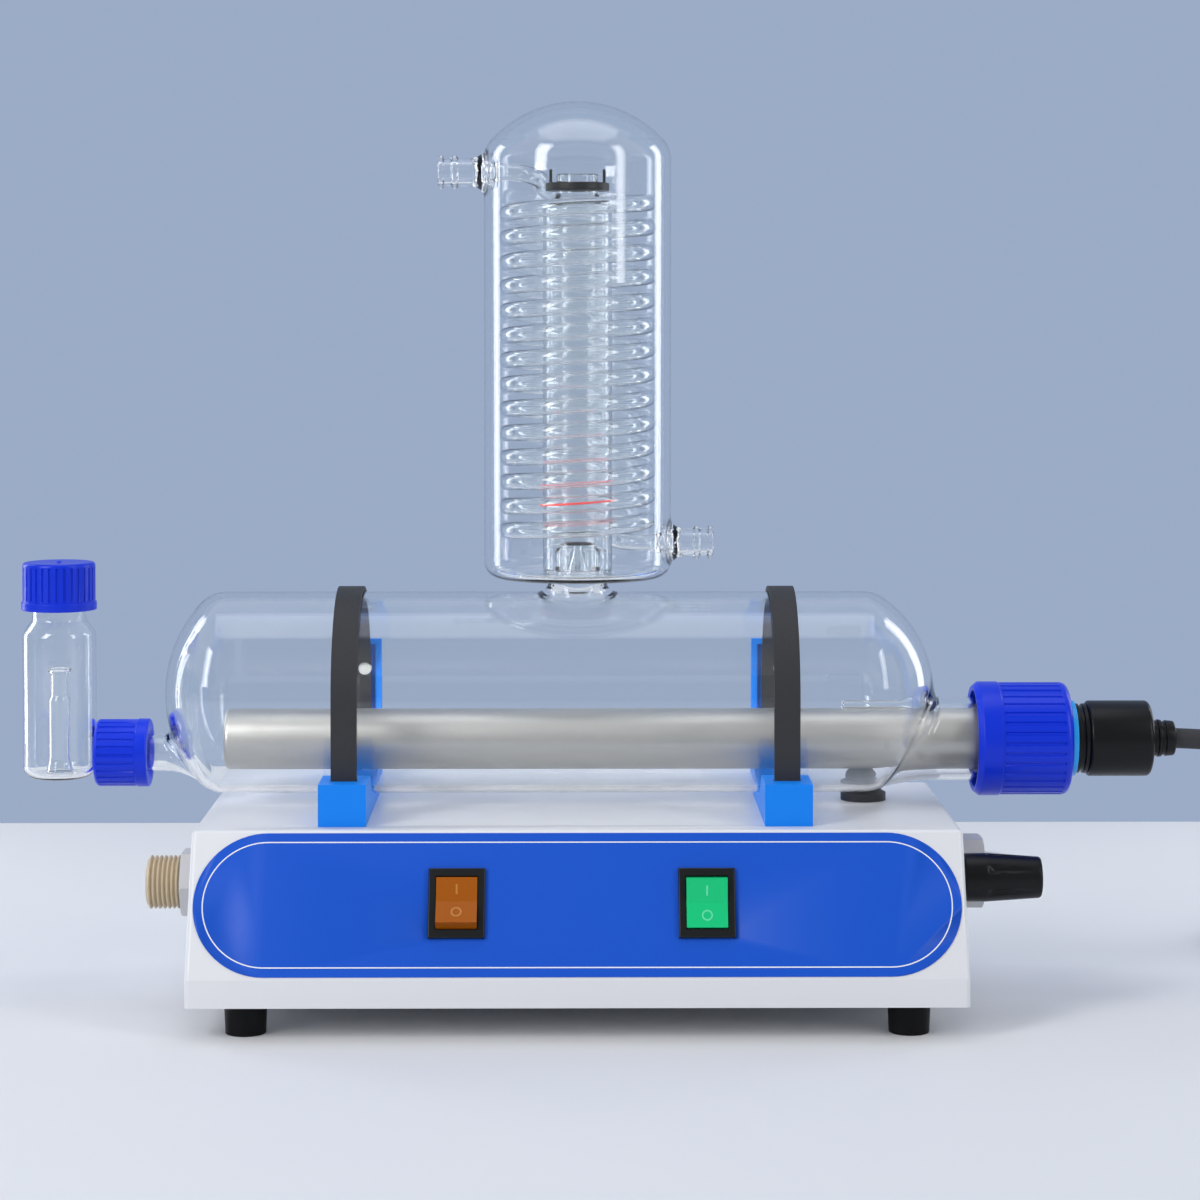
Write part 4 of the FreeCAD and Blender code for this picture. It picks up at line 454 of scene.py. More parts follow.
def boilerRows(inset, angles):
    s = boilerShape
    r = s["radius"] - inset
    half = inset * 0.5
    leftLine = [(s["leftNeck"] - half, s["leftTip"]), (s["leftNeck"] - half, -198.5)]
    left = domeRows(angles, r, s["leftDome"] - inset, s["knuckle"] - inset, s["left"], -1, place["levelZ"],
                    s["leftNeck"] - half, s["leftRootZ"], s["leftRoot"] - half, leftLine)
    neck = s["rightNeck"] - inset
    if inset:
        rightLine = [(neck, s["rightTip"]), (neck, 180.5)]
    else:
        thread = s["rightThread"]
        rightLine = [(thread, s["rightTip"]), (thread, 193.0), (neck, 190.5), (neck, 180.5)]
    right = domeRows(angles, r, s["rightDome"] - inset, s["knuckle"] - inset, s["right"], 1, place["heaterZ"],
                     neck, s["rightRootZ"], s["rightRoot"] - inset, rightLine)
    ring = circle(angles)
    levels = np.concatenate([np.linspace(s["left"], -22, 9)[1:], np.linspace(-22, 22, 25)[1:],
                             np.linspace(22, s["right"], 7)[1:-1]])
    middle = [np.column_stack([np.full(len(angles), x), ring * r + [0, place["boilerZ"]]]) for x in levels]
    first = len(left) + 7
    return np.stack(left + middle + right[::-1]), first


def buildBoiler():
    s = boilerShape
    columns = 160
    angles = bearings(columns)
    shell = GlassShell("boilerGlass")
    base = np.array([place["midX"], place["axisY"], 0.0])
    outer, first = boilerRows(0.0, angles)
    inner, _ = boilerRows(s["wall"], angles)
    window = (first, first + 24, columns // 4 - 12, columns // 4 + 12)
    hosts = [outer + base, inner + base]
    for host in hosts:
        shell.addGrid(host, [window])
    shell.addGrid(np.stack([hosts[0][0], hosts[1][0]]))
    shell.addGrid(np.stack([hosts[0][-1], hosts[1][-1]]))
    rows = []
    for host, inset in zip(hosts, (0.0, s["wall"])):
        local = shell.border(host, *window) - base
        # the cylinder's own height over (across, beside)
        surface = lambda flat, r=s["radius"] - inset: np.sqrt(r ** 2 - flat[:, 1] ** 2) + place["boilerZ"]
        branch, ring = branchRoot(local, surface, s["topRoot"] - inset, s["topNeck"] - inset * 0.83,
                                  196.6 if not inset else 194.0, turns=9)
        rows.append(branch)
    rings = branchRings([(s["topNeck"], s["topZ"]), (s["topNeck"] - 2.5, s["topZ"])], ring)
    shell.addGrid(np.stack(rows[0] + rings + rows[1][::-1]) + base)
    return shell.build(clearGlass)


putGlass(buildBoiler(), "boiler_vessel")
print("vessels made")

# The coil: from the lower arm's taper an S to the back, fourteen turns up, and an S to the upper arm's taper.
coilShape = dict(radius=33.65, wire=4.0, bore=2.6, pitch=11.55, turns=14, startZ=218.7, armTip=34.0)


# Points on the arc that leaves p along heading t and reaches q.
def arcTo(p, t, q, steps):
    chord = q - p
    span = np.linalg.norm(chord)
    tilt = math.acos(max(-1.0, min(1.0, float(chord @ t) / span)))
    normal = unit(chord - t * (chord @ t))
    radius = span / (2 * math.sin(tilt))
    turn = np.linspace(0, 2 * tilt, steps)[:, None]
    return p + radius * (t * np.sin(turn) + normal * (1 - np.cos(turn)))


# Two arcs, tangent to each other, that leave p along t and reach q along w.
def twoArcs(p, t, q, w, steps=18):
    v = q - p
    a, b, c = 2 * (1 - t @ w), 2 * v @ (t + w), v @ v
    d = c / b * 2 if a < 1e-9 else (-b + math.sqrt(b * b + 4 * a * c)) / (2 * a)
    middle = (p + q + (t - w) * d) * 0.5
    return np.vstack([arcTo(p, t, middle, steps)[:-1], arcTo(q, -w, middle, steps)[::-1]])


def coilPath():
    s = coilShape
    centre = np.array(condenserAt)
    turn = math.pi / 2 + np.linspace(0, 2 * np.pi * s["turns"], s["turns"] * 56 + 1)
    climb = s["startZ"] + s["pitch"] * (turn - math.pi / 2) / (2 * np.pi)
    helix = centre + np.column_stack([s["radius"] * np.cos(turn), s["radius"] * np.sin(turn), climb])
    rise = s["pitch"] / (2 * np.pi * s["radius"])
    ends = [np.array([-math.sin(a), math.cos(a), rise]) / math.hypot(1, rise) for a in (turn[0], turn[-1])]
    low = centre + [s["armTip"] - 0.1, 0, jacketShape["lowArm"]]
    high = centre + [0.1 - s["armTip"], 0, jacketShape["topArm"]]
    return np.vstack([twoArcs(low, -xWay, helix[0], ends[0])[:-1], helix,
                      twoArcs(helix[-1], ends[1], high, -xWay)[1:]])


def buildCoil():
    s = coilShape
    path = coilPath()
    return meshFrom("coilGlass", walled(sweptGrid(path, s["wire"]), sweptGrid(path, s["bore"])), clearGlass)


putGlass(buildCoil(), "condenser_coil")


# A closed outline turned about an upright axis.
def turnedUp(name, line, material, centre=condenserAt, around=96, wobble=None):
    return meshFrom(name, turnedGrid(np.asarray(line, float), centre, zWay, around, wobble), material)


# A closed outline turned about a line along X at height z, with x counted from the condenser's axis.
def turnedAlong(name, line, material, z, around=96, wobble=None, y=place["axisY"]):
    grid = turnedGrid(np.asarray(line, float), (place["midX"], y, z), xWay, around, wobble)
    return meshFrom(name, grid, material)


vapourShape = dict(radius=16.5, wall=1.6, neck=10.0, low=202.1, shoulder=374.5, neckZ=381.5, top=391.0)
s = vapourShape
putGlass(turnedUp("vapourGlass", softLine([
    (s["radius"] - s["wall"], s["low"], 0.5), (s["radius"], s["low"], 0.5), (s["radius"], s["shoulder"], 4.0),
    (s["neck"], s["neckZ"], 1.2), (s["neck"], s["top"], 0.7), (s["neck"] - 1.6, s["top"], 0.7),
    (s["neck"] - 1.6, s["neckZ"] - 1.0, 1.5), (s["radius"] - s["wall"], s["shoulder"] - 0.6, 3.0)],
    closed=True), clearGlass), "vapour_tube")

riserShape = dict(radius=4.7, wall=1.2, low=196.0, waist=205.0, tip=2.6, top=213.6)
s = riserShape
putGlass(turnedUp("riserGlass", softLine([
    (s["radius"] - s["wall"], s["low"], 0.4), (s["radius"], s["low"], 0.4), (s["radius"], s["waist"], 3.0),
    (s["tip"], s["top"] - 2.5, 2.0), (s["tip"], s["top"], 0.3), (s["tip"] - 1.1, s["top"], 0.3),
    (s["tip"] - 1.1, s["top"] - 2.5, 2.0), (s["radius"] - s["wall"], s["waist"], 3.0)],
    closed=True), clearGlass, around=48), "vapour_riser")

# The splash bell: a closed dome over the jet; its rim waves up over the three steam mouths.
bellShape = dict(radius=10.8, wall=1.8, low=202.1, top=217.0, mouths=3, rise=3.0)


def buildBell():
    s = bellShape
    r, w = s["radius"], s["wall"]
    line = softLine([(r - w, s["low"]), (r, s["low"]), (r, s["top"], 6.5), (0.0, s["top"]),
                     (0.0, s["top"] - w), (r - w, s["top"] - w, 4.8)], steps=9)
    grid = turnedGrid(line, condenserAt, zWay, 96)
    v = bearings(96)
    # the lower a point, the more it rises over a mouth
    near = np.clip(1 - (grid[..., 2] - s["low"]) / 6.0, 0, 1)
    mouth = np.clip(np.cos(s["mouths"] * (v - math.pi / 2)) * 3 - 1.6, 0, 1)
    grid[..., 2] += near * mouth[None, :] * s["rise"]
    return meshFrom("bellGlass", grid, clearGlass)


putGlass(buildBell(), "splash_cap")

ringShape = dict(inner=10.1, outer=15.2, low=383.0, high=386.9, pinX=12.7, pinRadius=0.7, pinTop=393.4)
s = ringShape
put(turnedUp("centringRing", softLine([
    (s["inner"], s["low"]), (s["outer"], s["low"], 0.8), (s["outer"], s["high"], 0.8),
    (s["inner"], s["high"])], closed=True), blackPlastic), "base", ("centring_ring",), "plastic_black")
for side in (-1, 1):
    pinAt = (place["midX"] + side * s["pinX"], place["axisY"], 0.0)
    put(turnedUp("ringPin" + ("Left" if side < 0 else "Right"), softLine([
        (0.0, s["high"] - 1.0), (s["pinRadius"], s["high"] - 1.0), (s["pinRadius"], s["pinTop"], 0.5),
        (0.0, s["pinTop"])]), blackPlastic, pinAt, 20), "base")

# The red ring sits tilted: each point rises with its place across.
levelRing = dict(z=235.8, half=1.3, inner=16.7, outer=18.0, tilt=5.0)
s = levelRing
ringLine = softLine([(s["inner"], -s["half"]), (s["outer"], -s["half"], 0.4), (s["outer"], s["half"], 0.4),
                     (s["inner"], s["half"])], closed=True)
grid = turnedGrid(ringLine, (place["midX"], place["axisY"], s["z"]), zWay, 96)
grid[..., 2] += (grid[..., 0] - place["midX"]) * math.tan(math.radians(s["tilt"]))
put(meshFrom("redRing", grid, redSilicone), "base", ("level_ring",), "silicone_red")

# The level vial: a bottle, and the overflow pipe on its floor.
vialAt = (place["vialX"], place["axisY"], 0.0)
vialShape = dict(radius=17.4, wall=1.9, floor=103.4, shoulder=172.5, neckZ=179.0, neck=12.75, thread=13.5,
                 threadZ=183.8, top=203.2)
s = vialShape
w = s["wall"]
putGlass(turnedUp("vialGlass", softLine([
    (0.0, s["floor"]), (s["radius"], s["floor"], 6.0), (s["radius"], s["shoulder"], 5.5),
    (s["neck"], s["neckZ"], 2.5), (s["neck"], s["threadZ"]), (s["thread"], s["threadZ"] + 0.8),
    (s["thread"], s["top"], 0.8), (s["neck"] - w, s["top"], 0.6), (s["neck"] - w, s["neckZ"] - 0.5, 3.0),
    (s["radius"] - w, s["shoulder"] - 0.5, 4.5), (s["radius"] - w, s["floor"] + w, 4.2),
    (0.0, s["floor"] + w)], steps=9), clearGlass, vialAt, 128), "level_vial")

pipeShape = dict(foot=6.6, radius=5.2, slim=4.25, wall=1.1, floor=105.4, footTop=112.0, step=141.5, top=155.6,
                 rim=5.5)
s = pipeShape
w = s["wall"]
putGlass(turnedUp("standpipeGlass", softLine([
    (s["foot"] - w, s["floor"]), (s["foot"], s["floor"], 0.8), (s["radius"], s["footTop"], 8.0),
    (s["radius"], s["step"] - 0.8, 0.8), (s["slim"], s["step"] + 1.2, 1.2), (s["slim"], s["top"] - 2.6, 1.0),
    (s["rim"], s["top"] - 1.2, 0.8), (s["rim"], s["top"], 0.5), (s["rim"] - 1.2, s["top"], 0.5),
    (s["slim"] - w, s["top"] - 3.0, 1.0), (s["slim"] - w, s["step"] + 1.0, 1.0),
    (s["radius"] - w, s["step"] - 1.0, 0.8), (s["radius"] - w, s["footTop"], 8.0)], closed=True),
    clearGlass, vialAt, 64), "vial_standpipe")

# The thermowell: a thin closed tube that widens where it is blown in from the right shoulder.
wellShape = dict(z=137.4, tip=126.0, radius=2.3, bore=1.3, end=160.5)
s = wellShape
wellLine = softLine([
    (0.0, s["tip"]), (s["radius"], s["tip"], 1.6), (s["radius"], 154.0, 6.0), (4.2, s["end"]),
    (3.2, s["end"]), (s["bore"], 153.0, 6.0), (s["bore"], s["tip"] + 1.2, 0.9), (0.0, s["tip"] + 1.2)])
putGlass(turnedAlong("wellGlass", wellLine, clearGlass, s["z"], 40))
print("inner glass made")


# Narrow grooves along a screw cap's wall: deep where the share of the pitch lies near 0.81, and none outside
# low..high.
def capGrooves(count, depth, low, high, radius):
    def wobble(line, v):
        share = (v * count / (2 * np.pi)) % 1.0
        groove = np.clip((0.17 - np.abs(share - 0.81)) / 0.06, 0, 1)
        along = np.clip((line[:, 1] - low) / 0.5, 0, 1) * np.clip((high - line[:, 1]) / 0.5, 0, 1)
        return -depth * np.outer(along * (line[:, 0] > radius - 0.05), groove)
    return wobble


vialCapShape = dict(radius=17.2, flange=17.8, bore=14.1, low=183.7, top=206.5, ribs=31, depth=0.65)
s = vialCapShape
vialCapLine = softLine([
    (0.0, s["top"] - 2.0), (s["bore"], s["top"] - 2.0, 0.8), (s["bore"], s["low"], 0.3),
    (s["flange"], s["low"], 0.5), (s["flange"], s["low"] + 3.8, 0.4), (s["radius"], s["low"] + 4.1),
    (s["radius"], s["low"] + 4.6), (s["radius"], s["low"] + 5.1), (s["radius"], s["top"] - 2.6),
    (s["radius"], s["top"] - 2.1), (s["radius"], s["top"], 1.5), (s["radius"] - 3.0, s["top"] - 0.25),
    (1.2, s["top"] - 0.25), (1.0, s["top"] + 0.4, 0.2), (0.0, s["top"] + 0.45)])
put(turnedUp("vialCap", vialCapLine, capBlue, vialAt, s["ribs"] * 14,
             capGrooves(s["ribs"], s["depth"], s["low"] + 4.6, s["top"] - 2.1, s["radius"])),
    "vial_cap_body", ("vial_cap",), "cap_blue")

heaterCapShape = dict(radius=26.75, flange=27.15, bore=22.9, mouth=18.7, x=189.0, flangeEnd=201.0, end=234.2,
                      seat=227.2, ribs=34, depth=0.65)
s = heaterCapShape
heaterCapLine = softLine([
    (s["bore"], s["x"] + 0.6), (s["bore"] + 1.2, s["x"], 0.4), (25.0, s["x"], 0.6),
    (s["flange"], s["x"] + 2.6, 0.9), (s["flange"], s["flangeEnd"] - 0.4, 0.4), (s["radius"], s["flangeEnd"]),
    (s["radius"], s["flangeEnd"] + 0.5), (s["radius"], s["flangeEnd"] + 1.0), (s["radius"], s["end"] - 4.2),
    (s["radius"], s["end"] - 3.7), (s["radius"], s["end"], 3.4), (s["mouth"], s["end"], 0.5),
    (s["mouth"], s["seat"], 0.3), (s["bore"], s["seat"], 0.5)], closed=True)
put(turnedAlong("heaterCap", heaterCapLine, capBlue, place["heaterZ"], s["ribs"] * 14,
                capGrooves(s["ribs"], s["depth"], s["flangeEnd"] + 0.5, s["end"] - 3.7, s["radius"])),
    "heater_cap_body", ("heater_cap",), "cap_blue")

levelCapShape = dict(radius=15.9, flange=16.2, bore=12.6, mouth=9.35, x=-229.4, end=-204.2, ribs=26,
                     depth=0.6)
s = levelCapShape
levelCapLine = softLine([
    (s["bore"], s["x"], 0.3), (15.1, s["x"], 0.5), (s["radius"], s["x"] + 1.1, 0.5),
    (s["radius"], s["x"] + 1.6), (s["radius"], s["x"] + 2.1), (s["radius"], s["end"] - 6.6),
    (s["radius"], s["end"] - 6.1), (s["radius"], s["end"] - 5.7), (s["flange"], s["end"] - 5.4),
    (s["flange"], s["end"], 1.0), (s["bore"] - 0.2, s["end"], 0.8), (s["mouth"], s["end"] - 1.5, 0.4),
    (s["mouth"], s["end"] - 3.0), (s["bore"], s["end"] - 3.0, 0.4)], closed=True)
put(turnedAlong("levelCap", levelCapLine, capBlue, place["levelZ"], s["ribs"] * 14,
                capGrooves(s["ribs"], s["depth"], s["x"] + 1.6, s["end"] - 6.1, s["radius"])),
    "leveller_cap_body", ("leveller_cap",), "cap_blue")

heaterParts = [
    ("heaterSheath", "heater_sheath", heaterSteel, "steel", False,
     [(0.0, -167.9), (14.5, -167.9, 2.2), (14.5, 238.0, 0.3), (13.5, 238.0, 0.3), (13.5, -166.9, 1.5),
      (0.0, -166.9)]),
    ("cyanRing", "heater_ring", cyanPlastic, "ring_cyan", True,
     [(14.65, 234.45), (18.1, 234.45, 0.4), (18.1, 237.5, 0.4), (14.65, 237.5)]),
    ("heaterFlange", "heater_flange", blackPlastic, "plastic_black", True,
     [(14.7, 237.65), (16.6, 237.65, 0.4), (16.6, 239.4, 0.3), (15.3, 239.6, 0.2), (15.3, 241.2, 0.2),
      (16.6, 241.4, 0.3), (16.6, 243.25, 0.3), (14.7, 243.25)]),
    ("terminalCap", "terminal_cap", blackPlastic, "plastic_black", True,
     [(13.2, 243.4), (18.0, 243.4, 1.6), (18.0, 273.7, 2.4), (7.45, 273.7, 0.3), (7.45, 270.0),
      (13.2, 270.0, 0.5)]),
    ("strainRelief", "strain_relief", blackPlastic, "rubber_black", True,
     [(4.95, 273.85), (9.4, 273.85, 0.6), (9.3, 275.6, 0.3), (8.5, 275.8, 0.2), (8.4, 277.3, 0.2),
      (9.0, 277.5, 0.3), (8.8, 279.2, 0.3), (8.1, 279.4, 0.2), (8.0, 280.9, 0.2), (8.6, 281.1, 0.3),
      (8.2, 285.6, 1.0), (4.95, 285.6)]),
]
for name, node, material, slot, closed, corners in heaterParts:
    line = softLine(corners, closed=closed)
    put(turnedAlong(name, line, material, place["heaterZ"]), "base", (node,), slot)
print("caps and heater made")


# The nipple's thread: seven rounded ridges between its end and the hexagon nut.
nippleShape = dict(y=-16.25, z=58.6, start=-201.15, nut=-184.95, radius=12.4, root=10.9, ridges=7, bore=8.0,
                   tail=-171.0)
s = nippleShape
pitch = (s["nut"] - s["start"] - 1.0) / s["ridges"]
nippleLine = [(s["bore"], s["start"], 0.5), (s["root"], s["start"], 0.6)]
for k in range(s["ridges"]):
    x = s["start"] + 0.5 + pitch * k
    nippleLine += [(s["root"], x + 0.1, 0.2), (s["radius"], x + pitch * 0.38, 0.35),
                   (s["radius"], x + pitch * 0.62, 0.35), (s["root"], x + pitch - 0.1, 0.2)]
nippleLine += [(9.75, s["nut"]), (9.75, s["tail"]), (s["bore"], s["tail"])]
put(turnedAlong("inletNipple", softLine(nippleLine, steps=4, closed=True), tanPlastic, s["z"], y=s["y"]),
    "base", ("water_inlet_nipple",), "thread_tan")

tailShape = dict(y=18.75, z=57.0, start=166.3, nutEnd=194.25, bore=4.7, radius=9.4, tip=6.8)
s = tailShape
tailLine = [(s["bore"], s["start"]), (8.9, s["start"]), (8.9, s["nutEnd"] + 0.1),
            (s["radius"], s["nutEnd"] + 0.1, 0.4)]
for k in range(3):
    x = s["nutEnd"] + 6.9 * k
    r = s["radius"] - 0.88 * k
    tailLine += [(r, x + 0.8, 0.4), (r - 1.1, x + 6.2, 0.5), (r - 0.9, x + 6.9, 0.3)]
tailLine += [(s["tip"] - 0.3, s["nutEnd"] + 20.6, 0.6), (s["bore"], s["nutEnd"] + 20.6, 0.4)]
put(turnedAlong("hoseTail", softLine(tailLine, steps=4, closed=True), whitePlastic, s["z"], 64, y=s["y"]),
    "base", ("outlet_hose_tail",), "plastic_white")

# The knob: tapered, with six finger grooves that run out of its outer end.
knobShape = dict(y=-36.25, z=64.0, x=178.35, radius=11.2, grooves=6, grooveRadius=2.4, plain=10.1)
s = knobShape


def knobGrooves(line, v):
    s = knobShape
    out = s["radius"] + s["grooveRadius"] / 3
    turn = (v / (2 * np.pi) * s["grooves"]) % 1.0 - 0.5
    angle = turn * 2 * np.pi / s["grooves"]
    # the groove's floor: where the ray at this angle meets the groove's round cutter
    cutter = out * np.cos(angle) - np.sqrt(np.maximum(s["grooveRadius"] ** 2 - (out * np.sin(angle)) ** 2, 0))
    cutter = np.where(np.abs(out * np.sin(angle)) < s["grooveRadius"], cutter, 99.0)
    fade = np.clip((line[:, 1] - (s["x"] + s["plain"])) / 3.0, 0, 1)
    fade = fade * fade * (3 - 2 * fade)
    depth = np.minimum(cutter[None, :] - line[:, 0][:, None], 0) * fade[:, None]
    return np.where((line[:, 0] > 6.0)[:, None], depth, 0.0)


knobLine = softLine([(3.0, s["x"] + 3.0), (7.2, s["x"] + 3.0), (7.2, s["x"] + 0.2), (10.5, s["x"], 0.4),
                     (11.1, s["x"] + 0.8, 0.5), (11.15, s["x"] + 10.0)])
side = np.column_stack([np.linspace(11.15, 9.5, 20), np.linspace(s["x"] + 10.3, s["x"] + 34.8, 20)])
knobEnd = softLine([(9.45, s["x"] + 35.0), (8.9, s["x"] + 35.9, 0.6), (6.5, s["x"] + 35.9),
                    (0.0, s["x"] + 35.9)])
knobLine = np.vstack([knobLine, side, knobEnd, [(0.0, s["x"] + 16.5), (3.0, s["x"] + 16.5)]])
put(turnedAlong("valveKnob", knobLine, blackPlastic, s["z"], 144, knobGrooves, s["y"]), "valve_knob",
    ("flow_valve_knob",), "plastic_black")
print("side fittings made")


def smoothCopy(node, name, material, body="base", slot=None, angle=32.0, bevel=0.0):
    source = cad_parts[node]
    copy = addObject(name, source.data.copy())
    work = bmesh.new()
    work.from_mesh(copy.data)
    bmesh.ops.remove_doubles(work, verts=work.verts, dist=2e-6)
    if bevel:
        bmesh.ops.dissolve_limit(work, angle_limit=math.radians(0.5), verts=work.verts, edges=work.edges)
    work.to_mesh(copy.data)
    work.free()
    copy.data.polygons.foreach_set("use_smooth", np.ones(len(copy.data.polygons), bool))
    copy.data.set_sharp_from_angle(angle=math.radians(angle))
    copy.data.materials.clear()
    copy.data.materials.append(material)
    if bevel:
        soft = copy.modifiers.new("soft edges", "BEVEL")
        soft.width = bevel * mm
        soft.segments = 2
        soft.limit_method = "ANGLE"
        soft.angle_limit = math.radians(35)
        soft.harden_normals = True
        copy.data.polygons.foreach_set("use_smooth", np.ones(len(copy.data.polygons), bool))
    return put(copy, body, (node,), slot)


keptPieces = [
    ("base_housing", "baseHousing", housingPaint, "painted_white", 0.0),
    ("base_plate", "basePlate", housingPaint, "painted_white", 0.2),
    ("rubber_feet", "rubberFeet", footRubber, "rubber_black", 0.3),
    ("foot_screws", "footScrews", plainSteel, "steel", 0.0),
    ("inlet_lock_nut", "inletNut", hexGrey, "hex_grey", 0.3),
    ("outlet_nut", "outletNut", hexGrey, "hex_grey", 0.3),
    ("left_saddle", "leftSaddle", saddleBlue, "saddle_blue", 0.5),
    ("right_saddle", "rightSaddle", saddleBlue, "saddle_blue", 0.5),
    ("left_strap", "leftStrap", strapRubber, "rubber_black", 0.35),
    ("right_strap", "rightStrap", strapRubber, "rubber_black", 0.35),
    ("left_strap_peg", "leftPeg", whitePlastic, "plastic_white", 0.2),
    ("right_strap_peg", "rightPeg", whitePlastic, "plastic_white", 0.2),
    ("thermostat_boot", "thermostatBoot", strapRubber, "rubber_black", 0.2),
    ("heater_switch_bezel", "amberBezel", bezelPlastic, "plastic_black", 0.15),
    ("mains_switch_bezel", "greenBezel", bezelPlastic, "plastic_black", 0.15),
    ("mains_inlet", "mainsInlet", blackPlastic, "plastic_black", 0.3),
    ("heater_outlet", "heaterOutlet", blackPlastic, "plastic_black", 0.3),
    ("lead_plug", "leadPlug", blackPlastic, "plastic_black", 0.3),
    ("flow_valve_spindle", "valveSpindle", turnedBrass, "brass_parts", 0.0),
    ("flow_valve_nut", "valveNut", plainSteel, "steel", 0.1),
]
for node, name, material, slot, bevel in keptPieces:
    body = "valve_knob" if node == "flow_valve_spindle" else "base"
    smoothCopy(node, name, material, body, slot, bevel=bevel)

plainNodes = dict(flow_valve_body=blackPlastic, saddle_screws=plainSteel, solenoid_valve=blackPlastic,
                  transfer_tube=whitePlastic, control_board=boardGreen, board_standoffs=turnedBrass,
                  terminal_block=whitePlastic, thermostat_disc=blackPlastic, heater_core=bobbinCeramic,
                  heater_seal=sealSilicone, heater_washer=whitePlastic, leveller_seal=sealSilicone,
                  leveller_washer=whitePlastic, vial_cap_liner=whitePlastic)
for node, material in plainNodes.items():
    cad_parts[node].data.materials.clear()
    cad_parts[node].data.materials.append(material)
print("kept pieces made")

panelBlue = grained("panelBlue", (0.006, 0.088, 0.58), 0.4, 600.0, 0.36, 0.46, Specular_IOR_Level=0.25)
lineWhite = principled("lineWhite", (0.85, 0.85, 0.87), 0.4)
put(smoothCopy("front_panel_label", "panelLabel", panelBlue, slot="panel_blue"), "base")
panelShape = dict(halfRun=140.3, radius=33.0, inset=4.3, line=0.55, thick=0.4)


# A thin raised line that runs round inside the label's edge: a stadium outline swept with a flat section.
def buildPanelLine():
    s = panelShape
    r = s["radius"] - s["inset"]
    turn = np.linspace(-math.pi / 2, math.pi / 2, 49)
    right = [s["halfRun"], 0.0] + r * circle(turn)
    loop = np.vstack([right, -right])
    out = np.vstack([circle(turn), -circle(turn)])
    low, high = s["thick"] + 0.005, s["thick"] + 0.04
    corners = [(-s["line"] / 2, low), (s["line"] / 2, low), (s["line"] / 2, high), (-s["line"] / 2, high)]
    rings = [np.column_stack([loop + out * w, np.full(len(loop), h)]) for w, h in corners]
    return meshFrom("panelLine", onSlope(np.stack(rings)), lineWhite)


put(buildPanelLine(), "base")

rockerShape = dict(half=11.6, lean=math.radians(10), proud=2.7, up=0.3, pivot=0.4, markWidth=0.9,
                   markLength=4.6, ringOuter=2.5, ringInner=1.75, height=0.12, sunk=-0.05, place=5.6)


# (across, along the half face from its dip, out of it) of a rocker's upper or lower half, onto the slope.
def onRocker(points, x, pressedUp, upper):
    s = rockerShape
    a = s["lean"]
    tip = (s["half"] * math.cos(a) - s["proud"] * math.sin(a),
           s["half"] * math.sin(a) + s["proud"] * math.cos(a))
    dip = tip[1] - tip[0] * math.tan(a)
    way = 1 if upper else -1
    y = way * (points[..., 1] * math.cos(a) - points[..., 2] * math.sin(a))
    z = dip + points[..., 1] * math.sin(a) + points[..., 2] * math.cos(a)
    turn = -a if pressedUp else a
    return onSlope(np.stack([points[..., 0] + x, y * math.cos(turn) - z * math.sin(turn) + s["up"],
                             y * math.sin(turn) + z * math.cos(turn) + s["pivot"]], axis=-1))


def buildRockerMarks(name, x, pressedUp, material):
    s = rockerShape
    w, n, low, high = s["markWidth"] / 2, s["markLength"] / 2, s["sunk"], s["height"]
    square = np.array([(-w, -n), (w, -n), (w, n), (-w, n)])
    at = np.array([0, s["place"]])
    bar = np.stack([np.column_stack([square * size + at, [z] * 4])
                    for size, z in ((0, low), (1, low), (1, high), (0, high))])
    ring = np.stack([np.column_stack([circle(bearings(48)) * r + at, np.full(48, z)])
                     for r, z in ((s["ringInner"], low), (s["ringOuter"], low),
                                  (s["ringOuter"], high), (s["ringInner"], high))])
    first = meshFrom(name + "Bar", onRocker(bar, x, pressedUp, True), material, wrapU=False)
    second = meshFrom(name + "Ring", onRocker(ring, x, pressedUp, False), material)
    return first, second


amberMark = principled("amberMark", (0.5, 0.2, 0.03), 0.35)
greenMark = principled("greenMark", (0.12, 0.75, 0.4), 0.35)
switches = [
    ("heater_switch_rocker", "amberRocker", -54.5, True, "heater_rocker", amberPlastic, amberMark,
     "rocker_amber"),
    ("mains_switch_rocker", "greenRocker", 58.3, False, "mains_rocker", greenPlastic, greenMark,
     "rocker_green"),
]
for node, name, x, pressedUp, body, face, mark, slot in switches:
    smoothCopy(node, name, face, body, slot, bevel=0.45)
    for piece in buildRockerMarks(name, x, pressedUp, mark):
        put(piece, body)
print("front panel made")

leadShape = dict(exit=(275.45, 13.75), radius=4.85, length=0.590, points=[
    (0.0, 0.0, 121.5), (42.0, 0.0, 120.0), (88.0, 3.0, 106.0), (130.0, 18.0, 80.0), (162.0, 52.0, 48.0),
    (178.0, 98.0, 20.0), (169.2, 131.0, 7.5), (145.0, 155.2, 4.85), (112.0, 164.0, 4.85), (79.0, 155.2, 4.85),
    (54.8, 131.0, 4.85), (46.0, 98.0, 4.85), (54.8, 65.0, 4.85), (79.0, 40.8, 6.6), (112.0, 32.0, 9.7),
    (146.0, 32.0, 9.7)])


def buildLead():
    s = leadShape
    line = bpy.data.curves.new("heaterLead", "CURVE")
    line.dimensions = "3D"
    line.bevel_depth = s["radius"] * mm
    line.bevel_resolution = 6
    line.resolution_u = 12
    line.use_fill_caps = True
    route = line.splines.new("NURBS")
    route.points.add(len(s["points"]) - 1)
    at = np.array(s["points"]) + [s["exit"][0], s["exit"][1], 0.0]
    route.points.foreach_set("co", np.column_stack([at * mm, np.ones(len(at))]).ravel())
    route.order_u = 3
    route.use_endpoint_u = True
    line.materials.append(leadRubber)
    return addObject("heaterLead", line)


